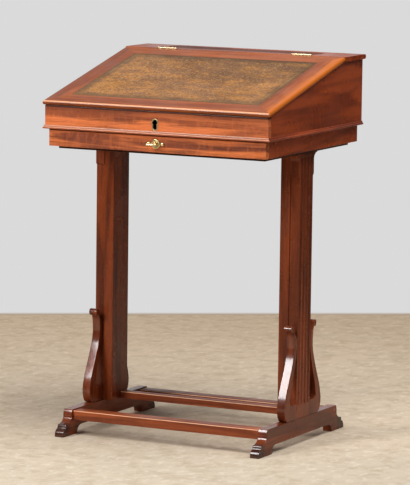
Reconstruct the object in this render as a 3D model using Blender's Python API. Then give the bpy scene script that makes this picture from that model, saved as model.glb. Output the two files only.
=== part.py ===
"""Slant-top writing table on fluted end supports, built as separate joined pieces.

Metres, +Z up, front towards -Y.  Every piece is one closed body with its own material.
"""

import math

import bmesh
import bpy
from mathutils import Matrix, Vector

# Desk box
BOX_WIDTH = 0.580
BOX_DEPTH = 0.510
BOX_FRONT_HEIGHT = 0.055
BOX_BACK_HEIGHT = 0.157
BOX_WALL = 0.014
BOX_FLOOR = 0.008

# Base moulding planted round the foot of the box
MOULDING_HEIGHT = 0.0095
MOULDING_DEPTH = 0.0045
MOULDING_BEAD = 0.0058
MOULDING_OVOLO = 0.0018

# Fixed ledge behind the lid
LEDGE_DEPTH = 0.107
LEDGE_THICKNESS = 0.011
LEDGE_BACK_OVERHANG = 0.009
TRAY_LENGTH = 0.414
TRAY_WIDTH = 0.0775
TRAY_DEPTH = 0.0055
TRAY_SETBACK = 0.0152
TRAY_END = 0.020

# Hinged lid
LID_THICKNESS = 0.012
LID_FRONT_OVERHANG = 0.006
LID_SIDE_OVERHANG = 0.0045
LID_FRAME_WIDTH = 0.050
LID_REBATE_WIDTH = 0.008
LID_REBATE_DEPTH = 0.005
LEATHER_THICKNESS = 0.0014
LID_BACK_GAP = 0.0006

# Butt hinges between lid and ledge
HINGE_LENGTH = 0.050
HINGE_SPACING = 0.360
HINGE_LEAF_WIDTH = 0.008
HINGE_LEAF_THICKNESS = 0.0014
KNUCKLE_RADIUS = 0.0024
KNUCKLE_CLEARANCE = 0.0006
PIN_RADIUS = 0.0011
AXIS_RISE = 0.0010

# Lid lock and its keyhole
KEYHOLE_HEAD = 0.0063
KEYHOLE_SLOT = 0.0044
KEYHOLE_DROP = 0.0125
ESCUTCHEON_BORDER = 0.0026
ESCUTCHEON_THICKNESS = 0.0024
ESCUTCHEON_PROUD = 0.0009
KEYHOLE_CLEARANCE = 0.0005
LOCK_WIDTH = 0.056
LOCK_HEIGHT = 0.0475
LOCK_THICKNESS = 0.0095
LOCK_LET_IN = 0.0065
BOLT_WIDTH = 0.018
BOLT_THICKNESS = 0.0036
BOLT_LENGTH = 0.020
BOLT_TRAVEL = 0.005
STRIKE_WIDTH = 0.040
STRIKE_DEPTH = 0.012
STRIKE_THICKNESS = 0.0012

# Frieze and drawer
FRIEZE_HEIGHT = 0.040
FRIEZE_SIDE_INSET = 0.008
FRIEZE_FRONT_INSET = 0.006
FRIEZE_BACK_INSET = 0.0065
FRIEZE_RAIL = 0.013
DRAWER_FRONT_THICKNESS = 0.016
DRAWER_SIDE_THICKNESS = 0.009
DRAWER_TOP_CLEARANCE = 0.005
DRAWER_BACK_CLEARANCE = 0.0385
DRAWER_BOTTOM = 0.005
DRAWER_BOTTOM_RISE = 0.004
DRAWER_GROOVE = 0.004
DRAWER_TONGUE = 0.006
DRAWER_SLACK = 0.0015

# Drawer pull
ROSE_RADIUS = 0.0115
ROSE_THICKNESS = 0.0022
ROSE_ARM_THICKNESS = 0.0015
LOBE_RADIUS = 0.0042
LOBE_SPACING = 0.036
PULL_POST_RADIUS = 0.0033
PULL_POST_LENGTH = 0.022
PULL_COLLAR_RADIUS = 0.0056
PULL_BAR_RADIUS = 0.0026
PULL_BAR_LENGTH = 0.028
PULL_BALL_RADIUS = 0.0038
PULL_STUD_RADIUS = 0.0020
PULL_NUT_RADIUS = 0.0042
PULL_NUT_THICKNESS = 0.0040
PULL_NUT_SIDES = 6

# Board under the drawer that the end supports carry
UNDER_BOARD_THICKNESS = 0.012
UNDER_BOARD_DROP = 0.007
UNDER_BOARD_INSET = 0.029

# End supports
SUPPORT_HEIGHT = 0.624
SUPPORT_SHIFT = -0.004
PILASTER_THICKNESS = 0.023
PILASTER_DEPTH = 0.072
POST_THICKNESS = 0.0245
POST_DEPTH = 0.077
FLUTE_COUNT = 4
FLUTE_PITCH = 0.017
FLUTE_RADIUS = 0.0058
FLUTE_DEPTH = 0.0030
FLUTE_FOOT = 0.030
FLUTE_HEAD = 0.006
CAPITAL_HEIGHT = 0.052
CAPITAL_PROUD = 0.0045
CAPITAL_FLARE = 0.018
CAPITAL_COVE = 0.015
CAPITAL_FILLET = 0.0012
CAPITAL_BEAD = 0.0030
SUPPORT_TENON = 0.008
SUPPORT_TENON_WIDTH = 0.040

# Scroll brackets either side of each pilaster
BRACKET_THICKNESS = 0.020
BRACKET_BELLY = 0.063
BRACKET_BELLY_HEIGHT = 0.033
BRACKET_FOOT = 0.045
BRACKET_NECK = 0.0140
BRACKET_NECK_HEIGHT = 0.166
BRACKET_STRAP = 0.0120
BRACKET_STRAP_FOOT = 0.0275
BRACKET_VOID_FLOOR = 0.036
ROLL_RADIUS = 0.0080
ROLL_HEIGHT = 0.2165
ROLL_REACH = 0.025
BRACKET_SWAY = 0.6
CROOK_DROP = 0.0126
CROOK_HEIGHT = 0.0252

# Sled feet
SLED_HEIGHT = 0.061
SLED_TOP_LENGTH = 0.376
SLED_TOE_REACH = 0.0445
SLED_TOE_EDGE = 0.004
SLED_LIP_RADIUS = 0.032
SLED_LIP_HEIGHT = 0.0165
SLED_QUIRK = 0.001
SLED_COVE_REACH = 0.0235
SLED_COVE_HEIGHT = 0.0165
SLED_SHELF = 0.0015
SLED_OVOLO_REACH = 0.003
SLED_OVOLO_HEIGHT = 0.0065
SLED_STEP = 0.0005
SLED_SWEEP_REACH = 0.002
SLED_SWEEP_HEIGHT = 0.003
SLED_PAD_LENGTH = 0.068
SLED_ARCH_HEIGHT = 0.0195
SLED_ARCH_EASE = 0.020

# Stretchers
STRETCHER_HEIGHT = 0.023
STRETCHER_DEPTH = 0.036
STRETCHER_SETBACK = 0.003
STRETCHER_DROP = 0.0025
MIDDLE_HEIGHT = 0.0175
MIDDLE_DEPTH = 0.024
MIDDLE_SETBACK = 0.042
STRETCHER_ROUND = 0.0035
STRETCHER_TENON = 0.010
TENON_SHOULDER = 0.005

# Clearances and finish
GAP = 0.0003
SLIDE_GAP = 0.0006
ARRIS = 0.0008
FINE_ARRIS = 0.0004
ROUND_STEPS = 6

# Levels worked out from the sizes above
SUPPORT_TOP = SLED_HEIGHT + GAP + SUPPORT_HEIGHT
BOARD_BOTTOM = SUPPORT_TOP + GAP
BOARD_TOP = BOARD_BOTTOM + UNDER_BOARD_THICKNESS
FRIEZE_BOTTOM = BOARD_BOTTOM + UNDER_BOARD_DROP
FRIEZE_TOP = FRIEZE_BOTTOM + FRIEZE_HEIGHT
BOX_BOTTOM = FRIEZE_TOP + GAP
BOX_FRONT_TOP = BOX_BOTTOM + BOX_FRONT_HEIGHT
LEDGE_BOTTOM = BOX_BOTTOM + BOX_BACK_HEIGHT + GAP
LEDGE_TOP = LEDGE_BOTTOM + LEDGE_THICKNESS

# Places worked out from the sizes above
HALF_WIDTH = BOX_WIDTH / 2
BOX_FRONT = -BOX_DEPTH / 2
BOX_BACK = BOX_DEPTH / 2
AXIS_Y = BOX_BACK - LEDGE_DEPTH
AXIS_Z = LEDGE_TOP + AXIS_RISE
FRIEZE_HALF = HALF_WIDTH - FRIEZE_SIDE_INSET
FRIEZE_FRONT = BOX_FRONT + FRIEZE_FRONT_INSET
FRIEZE_BACK = BOX_BACK - FRIEZE_BACK_INSET
RAIL_INSIDE = FRIEZE_HALF - FRIEZE_RAIL
OUTER_X = RAIL_INSIDE - GAP
PILASTER_INSIDE = OUTER_X - PILASTER_THICKNESS
POST_OUTSIDE = PILASTER_INSIDE - GAP
POST_INSIDE = POST_OUTSIDE - POST_THICKNESS
SLED_TOP_HALF = SLED_TOP_LENGTH / 2
SLED_HALF = SLED_TOP_HALF + SLED_TOE_REACH
LID_HALF = HALF_WIDTH + LID_SIDE_OVERHANG
ESCUTCHEON_BOTTOM = BOX_BOTTOM + MOULDING_HEIGHT + KEYHOLE_CLEARANCE
KEYHOLE_Z = ESCUTCHEON_BOTTOM + ESCUTCHEON_BORDER + KEYHOLE_SLOT + KEYHOLE_DROP
PULL_Z = FRIEZE_BOTTOM + FRIEZE_HEIGHT / 2
ROSE_BACK = FRIEZE_FRONT - GAP
PULL_BACK = ROSE_BACK - ROSE_THICKNESS - GAP
PULL_BAR_Y = PULL_BACK - PULL_POST_LENGTH

# The origin lies under the middle of the whole table, from pull to ledge
FRONT_END = PULL_BAR_Y - PULL_BALL_RADIUS
BACK_END = BOX_BACK + LEDGE_BACK_OVERHANG
ORIGIN_Y = (FRONT_END + BACK_END) / 2

# Finishes read from the photograph: linear colour, roughness and metallic value
MAHOGANY = ((0.30, 0.09, 0.035), 0.35, 0.0)
DARK_MAHOGANY = ((0.13, 0.035, 0.018), 0.5, 0.0)
DRAWER_LINING = ((0.38, 0.22, 0.11), 0.6, 0.0)
LEATHER = ((0.16, 0.10, 0.045), 0.55, 0.0)
BRASS = ((0.72, 0.52, 0.20), 0.25, 1.0)
STEEL = ((0.45, 0.43, 0.40), 0.3, 1.0)


def clear_scene():
    """Remove every object that the opened file holds."""
    for item in list(bpy.data.objects):
        bpy.data.objects.remove(item, do_unlink=True)


def finish_material(name, finish):
    """Make the Principled material of one piece."""
    colour, roughness, metallic = finish
    material = bpy.data.materials.new(name)
    material.use_nodes = True
    shader = material.node_tree.nodes["Principled BSDF"]
    shader.inputs["Base Color"].default_value = (*colour, 1.0)
    shader.inputs["Roughness"].default_value = roughness
    shader.inputs["Metallic"].default_value = metallic
    return material


def dress(item, finish):
    """Give a piece its own material."""
    item.data.materials.clear()
    item.data.materials.append(finish_material(item.name + "_finish", finish))
    return item


def mesh_object(name, mesh_data):
    """Turn an edit mesh into a named object with its faces outward."""
    bmesh.ops.recalc_face_normals(mesh_data, faces=mesh_data.faces[:])
    mesh = bpy.data.meshes.new(name)
    mesh_data.to_mesh(mesh)
    mesh_data.free()
    item = bpy.data.objects.new(name, mesh)
    bpy.context.scene.collection.objects.link(item)
    return item


def soften(mesh_data, arris):
    """Ease the sharp edges of a plain solid."""
    if arris <= 0:
        return
    sharp = [edge for edge in mesh_data.edges if edge.calc_face_angle(0.0) > math.radians(50)]
    bmesh.ops.bevel(mesh_data, geom=sharp, offset=arris, segments=2, profile=0.5, affect="EDGES")


def place(axis, along, u, v):
    """Give the point of an outline at a distance along the axis of its prism."""
    if axis == "X":
        return Vector((along, u, v))
    if axis == "Y":
        return Vector((u, along, v))
    return Vector((u, v, along))


def prism(name, outline, axis, start, end, arris=ARRIS):
    """Extrude an outline along one axis, from start to end."""
    mesh_data = bmesh.new()
    ring = [mesh_data.verts.new(place(axis, start, u, v)) for u, v in outline]
    face = mesh_data.faces.new(ring)
    grown = bmesh.ops.extrude_face_region(mesh_data, geom=[face])
    moved = [part for part in grown["geom"] if isinstance(part, bmesh.types.BMVert)]
    bmesh.ops.translate(mesh_data, verts=moved, vec=place(axis, end - start, 0.0, 0.0))
    bmesh.ops.recalc_face_normals(mesh_data, faces=mesh_data.faces[:])
    soften(mesh_data, arris)
    return mesh_object(name, mesh_data)


def block(name, x_span, y_span, z_span, arris=ARRIS):
    """Make a squared piece between two limits on each axis."""
    x0, x1 = x_span
    y0, y1 = y_span
    outline = [(x0, y0), (x1, y0), (x1, y1), (x0, y1)]
    return prism(name, outline, "Z", z_span[0], z_span[1], arris)


def turned(name, profile, axis, centre, steps=20):
    """Revolve a (radius, along) profile round an axis through the centre."""
    mesh_data = bmesh.new()
    path = [mesh_data.verts.new((radius, 0.0, along)) for radius, along in profile]
    edges = [mesh_data.edges.new(pair) for pair in zip(path, path[1:])]
    wire = path + edges
    bmesh.ops.spin(mesh_data, geom=wire, axis=(0, 0, 1), cent=(0, 0, 0), angle=math.tau, steps=steps)
    bmesh.ops.remove_doubles(mesh_data, verts=mesh_data.verts[:], dist=0.000001)
    turns = {"X": Matrix.Rotation(math.pi / 2, 4, "Y"), "Y": Matrix.Rotation(-math.pi / 2, 4, "X")}
    turn = turns.get(axis, Matrix.Identity(4))
    bmesh.ops.transform(mesh_data, matrix=Matrix.Translation(centre) @ turn, verts=mesh_data.verts[:])
    return mesh_object(name, mesh_data)


def rod(name, radius, axis, centre, start, end, steps=20):
    """Make a plain cylinder along an axis, between two distances from the centre."""
    profile = [(0.0, start), (radius, start), (radius, end), (0.0, end)]
    return turned(name, profile, axis, centre, steps)


def combine(target, tool, operation):
    """Cut or join a tool into a piece, and remove the tool."""
    change = target.modifiers.new("joinery", "BOOLEAN")
    change.operation = operation
    change.solver = "EXACT"
    change.object = tool
    bpy.context.view_layer.update()
    shaped = target.evaluated_get(bpy.context.evaluated_depsgraph_get())
    mesh = bpy.data.meshes.new_from_object(shaped)
    target.modifiers.clear()
    old = target.data
    target.data = mesh
    bpy.data.meshes.remove(old)
    bpy.data.objects.remove(tool, do_unlink=True)
    return target


def cut(target, tool):
    """Take a tool's shape out of a piece."""
    return combine(target, tool, "DIFFERENCE")


def join(target, tool):
    """Add a tool's shape to a piece."""
    return combine(target, tool, "UNION")


def arc(centre, radius_u, radius_v, start, end, steps=ROUND_STEPS):
    """Give points on part of an ellipse, angles in degrees."""
    points = []
    for step in range(steps + 1):
        angle = math.radians(start + (end - start) * step / steps)
        points.append((centre[0] + radius_u * math.cos(angle), centre[1] + radius_v * math.sin(angle)))
    return points


def mirrored(outline, centre):
    """Reflect an outline front to back about a centre."""
    return [(2 * centre - u, v) for u, v in reversed(outline)]


def lid_slope():
    """Find the lid's angle from the box's front height, the ledge and the lid's thickness."""
    run = AXIS_Y - BOX_FRONT
    angle = 0.0
    for _ in range(30):
        front_top = BOX_FRONT_TOP + GAP + LID_THICKNESS / math.cos(angle)
        angle = math.atan((LEDGE_TOP - front_top) / run)
    return angle


SLOPE = lid_slope()


def slope_height(y):
    """Give the height of the box's sloping top edge at a depth."""
    return BOX_FRONT_TOP + (y - BOX_FRONT) * math.tan(SLOPE)


def sled_outline():
    """Draw the side of a sled foot: lip, cove, ovolo and swept toe at each end, arched underside."""
    lean = math.asin(SLED_LIP_HEIGHT / SLED_LIP_RADIUS)
    neck_level = SLED_HEIGHT - SLED_LIP_HEIGHT
    lip_centre = (SLED_TOP_HALF - SLED_LIP_RADIUS * math.cos(lean), neck_level)
    lip = arc(lip_centre, SLED_LIP_RADIUS, SLED_LIP_RADIUS, math.degrees(lean), 0)
    cove_end = lip[-1][0] - SLED_QUIRK + SLED_COVE_REACH
    cove = arc((cove_end, neck_level), SLED_COVE_REACH, SLED_COVE_HEIGHT, 180, 270)
    ovolo_start = cove_end + SLED_SHELF
    ovolo_level = neck_level - SLED_COVE_HEIGHT - SLED_OVOLO_HEIGHT
    ovolo = arc((ovolo_start, ovolo_level), SLED_OVOLO_REACH, SLED_OVOLO_HEIGHT, 90, 0, 4)
    sweep_start = ovolo_start + SLED_OVOLO_REACH + SLED_STEP
    toe_start = sweep_start + SLED_SWEEP_REACH
    sweep = arc((toe_start, ovolo_level), SLED_SWEEP_REACH, SLED_SWEEP_HEIGHT, 180, 270, 4)
    toe_drop = ovolo_level - SLED_SWEEP_HEIGHT - SLED_TOE_EDGE
    toe = arc((toe_start, SLED_TOE_EDGE), SLED_HALF - toe_start, toe_drop, 90, 0)
    pad_end = SLED_HALF - SLED_PAD_LENGTH
    ease = arc((pad_end - SLED_ARCH_EASE, 0.0), SLED_ARCH_EASE, SLED_ARCH_HEIGHT, 0, 90)
    half = lip + cove + ovolo + sweep + toe[1:] + [(SLED_HALF, 0.0)] + ease
    half = [(u + SUPPORT_SHIFT, v) for u, v in half]
    return half + mirrored(half, SUPPORT_SHIFT)


def bracket_outline():
    """Draw a scroll bracket as (distance from the pilaster, height above the sled)."""
    rise = BRACKET_NECK_HEIGHT - BRACKET_BELLY_HEIGHT
    steps = 2 * ROUND_STEPS
    sweep = []
    for step in range(steps + 1):
        part = step / steps
        ease = (1 - math.cos(math.pi * part)) / 2
        lean = BRACKET_SWAY * ease + (1 - BRACKET_SWAY) * part
        reach = BRACKET_BELLY + (BRACKET_NECK - BRACKET_BELLY) * lean
        sweep.append((reach, BRACKET_BELLY_HEIGHT + rise * part))
    foot_reach = BRACKET_BELLY - BRACKET_FOOT
    foot = arc((BRACKET_FOOT, BRACKET_BELLY_HEIGHT), foot_reach, BRACKET_BELLY_HEIGHT, -90, 0)
    curl_drop = ROLL_HEIGHT - BRACKET_NECK_HEIGHT
    curl_out = ROLL_REACH - ROLL_RADIUS / 2 - BRACKET_NECK
    curl_centre = (BRACKET_NECK + curl_out, ROLL_HEIGHT - curl_drop)
    curl = arc(curl_centre, curl_out, curl_drop - ROLL_RADIUS, 180, 110)
    roll = arc((ROLL_REACH, ROLL_HEIGHT), ROLL_RADIUS, ROLL_RADIUS, -110, 165, 3 * ROUND_STEPS)
    crook_reach = ROLL_REACH - ROLL_RADIUS
    crook_foot = ROLL_HEIGHT - CROOK_DROP - CROOK_HEIGHT
    back = arc((crook_reach, crook_foot), crook_reach, CROOK_HEIGHT, 90, 180)
    inner = []
    for u, v in reversed(sweep):
        height = (v - BRACKET_BELLY_HEIGHT) / rise
        reach = u - BRACKET_STRAP_FOOT + (BRACKET_STRAP_FOOT - BRACKET_STRAP) * height
        if reach > 2 * GAP and v > BRACKET_VOID_FLOOR + ROLL_RADIUS:
            inner.append((reach, v))
    floor_centre = (inner[-1][0] - ROLL_RADIUS, BRACKET_VOID_FLOOR + ROLL_RADIUS)
    floor = arc(floor_centre, ROLL_RADIUS, ROLL_RADIUS, 0, -90, 3)
    throat = [(0.0, inner[0][1])]
    toe = [(0.0, BRACKET_VOID_FLOOR), (0.0, 0.0)]
    return foot + sweep[1:] + curl[1:] + roll + back[1:] + throat + inner + floor + toe


def pilaster_outline():
    """Draw the side of a pilaster: shaft, bead and coved capital, front and back alike."""
    half = PILASTER_DEPTH / 2
    foot = SLED_HEIGHT + GAP
    capital = SUPPORT_TOP - CAPITAL_HEIGHT
    block_half = half + CAPITAL_PROUD
    flare_half = block_half + CAPITAL_FLARE
    bead = arc((half, capital - CAPITAL_BEAD / 2), CAPITAL_PROUD / 2, CAPITAL_BEAD / 2, -90, 90, 4)
    cove_level = SUPPORT_TOP - CAPITAL_COVE - CAPITAL_FILLET
    cove = arc((flare_half, cove_level), CAPITAL_FLARE, CAPITAL_COVE, 180, 90)
    right = [(half, foot)] + bead + [(block_half, capital)] + cove + [(flare_half, SUPPORT_TOP)]
    right = [(u + SUPPORT_SHIFT, v) for u, v in right]
    return right + mirrored(right, SUPPORT_SHIFT)


def moulding_outline():
    """Draw the base moulding, an ovolo over a bead, as (distance out from the wall, height)."""
    radius = MOULDING_BEAD / 2
    bead = arc((MOULDING_DEPTH - radius, BOX_BOTTOM + radius), radius, radius, -90, 80, 8)
    rise = MOULDING_HEIGHT - MOULDING_BEAD
    ovolo = arc((GAP, BOX_BOTTOM + MOULDING_BEAD), MOULDING_OVOLO, rise, 0, 90, 5)
    return [(GAP, BOX_BOTTOM)] + bead + ovolo


def mitred_bar(name, outline, half_length, mitres):
    """Run an outline (distance in from the outer edge, height) along X with mitred ends."""
    mesh_data = bmesh.new()
    ends = []
    for side, mitre in zip((-1, 1), mitres):
        ring = [mesh_data.verts.new((side * (half_length - mitre * u), u, v)) for u, v in outline]
        ends.append(ring)
    count = len(outline)
    for index in range(count):
        after = (index + 1) % count
        mesh_data.faces.new((ends[0][index], ends[0][after], ends[1][after], ends[1][index]))
    mesh_data.faces.new(ends[0][::-1])
    mesh_data.faces.new(ends[1])
    return mesh_object(name, mesh_data)


def turn_mesh(item, matrix):
    """Move the mesh of a piece and keep its faces outward."""
    mesh_data = bmesh.new()
    mesh_data.from_mesh(item.data)
    bmesh.ops.transform(mesh_data, matrix=matrix, verts=mesh_data.verts[:])
    bmesh.ops.recalc_face_normals(mesh_data, faces=mesh_data.faces[:])
    mesh_data.to_mesh(item.data)
    mesh_data.free()
    return item


def keyhole_outline(head, slot, drop, centre_z):
    """Draw a keyhole: round head above a slot with a round end."""
    meet = math.degrees(math.asin(slot / head))
    top = arc((0.0, centre_z), head, head, -90 + meet, 270 - meet, 3 * ROUND_STEPS)
    end = arc((0.0, centre_z - drop), slot, slot, 180, 360)
    return top + end


def stretcher_outline(y_front, y_back, z_top, height):
    """Draw the section of a stretcher with rounded top edges."""
    radius = STRETCHER_ROUND
    front = arc((y_front + radius, z_top - radius), radius, radius, 180, 90, 4)
    back = arc((y_back - radius, z_top - radius), radius, radius, 90, 0, 4)
    return [(y_front, z_top - height)] + front + back + [(y_back, z_top - height)]


def tenoned_stretcher(name, y_front, y_back, z_top, height, half_length):
    """Make a stretcher with a stub tenon at each end."""
    bar = prism(name, stretcher_outline(y_front, y_back, z_top, height), "X", -half_length, half_length, 0)
    y_span = (y_front + TENON_SHOULDER, y_back - TENON_SHOULDER)
    z_span = (z_top - height + TENON_SHOULDER, z_top - TENON_SHOULDER)
    reach = half_length + STRETCHER_TENON
    return join(bar, block("tenon", (-reach, reach), y_span, z_span, 0))


def mortise(target, side, inside, y_front, y_back, z_top, height):
    """Cut the hole that takes a stretcher's tenon."""
    y_span = (y_front + TENON_SHOULDER - GAP, y_back - TENON_SHOULDER + GAP)
    z_span = (z_top - height + TENON_SHOULDER - GAP, z_top - TENON_SHOULDER + GAP)
    limits = sorted((side * (inside - TENON_SHOULDER), side * (inside + STRETCHER_TENON + GAP)))
    return cut(target, block("mortise", limits, y_span, z_span, 0))


FRONT_BAR_Y = SUPPORT_SHIFT - SLED_TOP_HALF + STRETCHER_SETBACK
BACK_BAR_Y = SUPPORT_SHIFT + SLED_TOP_HALF - STRETCHER_SETBACK
FRONT_BAR = (FRONT_BAR_Y, FRONT_BAR_Y + STRETCHER_DEPTH, SLED_HEIGHT - STRETCHER_DROP, STRETCHER_HEIGHT)
BACK_BAR = (BACK_BAR_Y - STRETCHER_DEPTH, BACK_BAR_Y, SLED_HEIGHT - STRETCHER_DROP, STRETCHER_HEIGHT)
MIDDLE_FRONT = SUPPORT_SHIFT - POST_DEPTH / 2 + MIDDLE_SETBACK
MIDDLE_TOP = SLED_HEIGHT + GAP + MIDDLE_HEIGHT
MIDDLE_BAR = (MIDDLE_FRONT, MIDDLE_FRONT + MIDDLE_DEPTH, MIDDLE_TOP, MIDDLE_HEIGHT)


def side_name(side):
    """Name the left or right hand."""
    return "left" if side < 0 else "right"


def across(side, inner, outer):
    """Give an X span on one hand, lower value first."""
    return tuple(sorted((side * inner, side * outer)))


def build_sled(side):
    """Make a sled foot with the mortises for pilaster and stretchers."""
    x_span = across(side, PILASTER_INSIDE, OUTER_X)
    sled = prism(side_name(side) + "_sled_foot", sled_outline(), "X", *x_span)
    for bar in (FRONT_BAR, BACK_BAR):
        mortise(sled, side, PILASTER_INSIDE, *bar)
    middle = side * (PILASTER_INSIDE + PILASTER_THICKNESS / 2)
    cheek = SUPPORT_TENON / 2 + GAP
    half = SUPPORT_TENON_WIDTH / 2 + GAP
    depth = SLED_HEIGHT - SLED_ARCH_HEIGHT - SUPPORT_TENON
    hole = block(
        "mortise",
        (middle - cheek, middle + cheek),
        (SUPPORT_SHIFT - half, SUPPORT_SHIFT + half),
        (SLED_HEIGHT - depth / 2 - GAP, SLED_HEIGHT + SUPPORT_TENON),
        0,
    )
    return dress(cut(sled, hole), MAHOGANY)


def support_tenon(side, x_middle, z_span):
    """Make a tenon block for the head or foot of an upright."""
    half = SUPPORT_TENON_WIDTH / 2
    cheek = SUPPORT_TENON / 2
    y_span = (SUPPORT_SHIFT - half, SUPPORT_SHIFT + half)
    return block("tenon", (side * x_middle - cheek, side * x_middle + cheek), y_span, z_span, 0)


def build_pilaster(side):
    """Make a fluted pilaster with its capital and its tenons."""
    x_span = across(side, PILASTER_INSIDE, OUTER_X)
    shaft = prism(side_name(side) + "_fluted_pilaster", pilaster_outline(), "X", *x_span, FINE_ARRIS)
    low = SLED_HEIGHT + FLUTE_FOOT + FLUTE_RADIUS
    high = SUPPORT_TOP - FLUTE_HEAD - FLUTE_RADIUS
    centre_x = side * (OUTER_X + FLUTE_RADIUS - FLUTE_DEPTH)
    end_cap = arc((0.0, low), FLUTE_RADIUS, FLUTE_RADIUS, -90, 0, 4)
    head_cap = arc((0.0, high), FLUTE_RADIUS, FLUTE_RADIUS, 0, 90, 4)
    profile = [(max(radius, 0.0), along) for radius, along in end_cap + head_cap]
    for index in range(FLUTE_COUNT):
        y = SUPPORT_SHIFT + FLUTE_PITCH * (index - (FLUTE_COUNT - 1) / 2)
        cut(shaft, turned("flute", profile, "Z", (centre_x, y, 0.0), 16))
    middle = PILASTER_INSIDE + PILASTER_THICKNESS / 2
    depth = SLED_HEIGHT - SLED_ARCH_HEIGHT - SUPPORT_TENON
    join(shaft, support_tenon(side, middle, (SLED_HEIGHT - depth / 2, SLED_HEIGHT + SUPPORT_TENON)))
    top = BOARD_BOTTOM + UNDER_BOARD_THICKNESS / 2
    join(shaft, support_tenon(side, middle, (SUPPORT_TOP - SUPPORT_TENON, top)))
    return dress(shaft, MAHOGANY)


def build_post(side):
    """Make the plain inner board of an end support."""
    half = POST_DEPTH / 2
    y_span = (SUPPORT_SHIFT - half, SUPPORT_SHIFT + half)
    x_span = across(side, POST_INSIDE, POST_OUTSIDE)
    post = block(side_name(side) + "_inner_post", x_span, y_span, (SLED_HEIGHT + GAP, SUPPORT_TOP))
    mortise(post, side, POST_INSIDE, *MIDDLE_BAR)
    middle = POST_INSIDE + POST_THICKNESS / 2
    top = BOARD_BOTTOM + UNDER_BOARD_THICKNESS / 2
    join(post, support_tenon(side, middle, (SUPPORT_TOP - SUPPORT_TENON, top)))
    return dress(post, MAHOGANY)


def build_bracket(side, facing):
    """Make one scroll bracket, in front of (-1) or behind (+1) a pilaster."""
    edge = PILASTER_DEPTH / 2 + GAP
    base = SLED_HEIGHT + GAP
    outline = [(SUPPORT_SHIFT + facing * (edge + u), base + v) for u, v in bracket_outline()]
    x_span = across(side, OUTER_X - BRACKET_THICKNESS, OUTER_X)
    place_name = "front" if facing < 0 else "rear"
    name = side_name(side) + "_" + place_name + "_scroll_bracket"
    return dress(prism(name, outline, "X", *x_span), MAHOGANY)


def build_stretchers():
    """Make the three bars that tie the end supports together."""
    dress(tenoned_stretcher("front_stretcher", *FRONT_BAR, PILASTER_INSIDE - GAP), MAHOGANY)
    dress(tenoned_stretcher("rear_stretcher", *BACK_BAR, PILASTER_INSIDE - GAP), MAHOGANY)
    dress(tenoned_stretcher("middle_stretcher", *MIDDLE_BAR, POST_INSIDE - GAP), MAHOGANY)


def build_under_board():
    """Make the board on the uprights, with a mortise for each of their tenons."""
    y_span = (BOX_FRONT + UNDER_BOARD_INSET, BOX_BACK - UNDER_BOARD_INSET)
    board = block("under_board", (-OUTER_X, OUTER_X), y_span, (BOARD_BOTTOM, BOARD_TOP))
    top = BOARD_BOTTOM + UNDER_BOARD_THICKNESS / 2 + GAP
    half = SUPPORT_TENON_WIDTH / 2 + GAP
    cheek = SUPPORT_TENON / 2 + GAP
    for side in (-1, 1):
        for middle in (PILASTER_INSIDE + PILASTER_THICKNESS / 2, POST_INSIDE + POST_THICKNESS / 2):
            x_span = (side * middle - cheek, side * middle + cheek)
            y_hole = (SUPPORT_SHIFT - half, SUPPORT_SHIFT + half)
            cut(board, block("mortise", x_span, y_hole, (BOARD_BOTTOM - SUPPORT_TENON, top), 0))
    return dress(board, DARK_MAHOGANY)


def build_frieze():
    """Make the rails either side of the drawer and behind it."""
    z_span = (FRIEZE_BOTTOM, FRIEZE_TOP)
    start = FRIEZE_FRONT + DRAWER_FRONT_THICKNESS + GAP
    end = FRIEZE_BACK - FRIEZE_RAIL - GAP
    for side in (-1, 1):
        name = side_name(side) + "_frieze_rail"
        dress(block(name, across(side, RAIL_INSIDE, FRIEZE_HALF), (start, end), z_span), MAHOGANY)
    back = block("back_frieze_rail", (-FRIEZE_HALF, FRIEZE_HALF), (end + GAP, FRIEZE_BACK), z_span)
    dress(back, MAHOGANY)


def build_box_front():
    """Make the box's front wall with the keyhole and the bed of the lock."""
    outline = [
        (BOX_FRONT, BOX_BOTTOM),
        (BOX_FRONT + BOX_WALL, BOX_BOTTOM),
        (BOX_FRONT + BOX_WALL, slope_height(BOX_FRONT + BOX_WALL)),
        (BOX_FRONT, BOX_FRONT_TOP),
    ]
    wall = prism("box_front", outline, "X", -HALF_WIDTH, HALF_WIDTH)
    border = ESCUTCHEON_BORDER + GAP
    bed = keyhole_outline(KEYHOLE_HEAD + border, KEYHOLE_SLOT + border, KEYHOLE_DROP, KEYHOLE_Z)
    bed_end = BOX_FRONT + ESCUTCHEON_THICKNESS - ESCUTCHEON_PROUD + GAP
    cut(wall, prism("bed", bed, "Y", BOX_FRONT - BOX_WALL, bed_end, 0))
    hole = keyhole_outline(KEYHOLE_HEAD, KEYHOLE_SLOT, KEYHOLE_DROP, KEYHOLE_Z)
    cut(wall, prism("keyhole", hole, "Y", BOX_FRONT - BOX_WALL, BOX_FRONT + 2 * BOX_WALL, 0))
    half = LOCK_WIDTH / 2 + GAP
    lock_top = slope_height(BOX_FRONT + BOX_WALL) + BOX_WALL
    x_span = (-half, half)
    y_span = (LOCK_FRONT - GAP, BOX_FRONT + 2 * BOX_WALL)
    cut(wall, block("lock_bed", x_span, y_span, (LOCK_BOTTOM - GAP, lock_top), 0))
    return dress(wall, MAHOGANY)


LOCK_FRONT = BOX_FRONT + BOX_WALL - LOCK_LET_IN
LOCK_TOP = slope_height(LOCK_FRONT) - GAP
LOCK_BOTTOM = LOCK_TOP - LOCK_HEIGHT
BOLT_Y = LOCK_FRONT + LOCK_THICKNESS / 2


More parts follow.
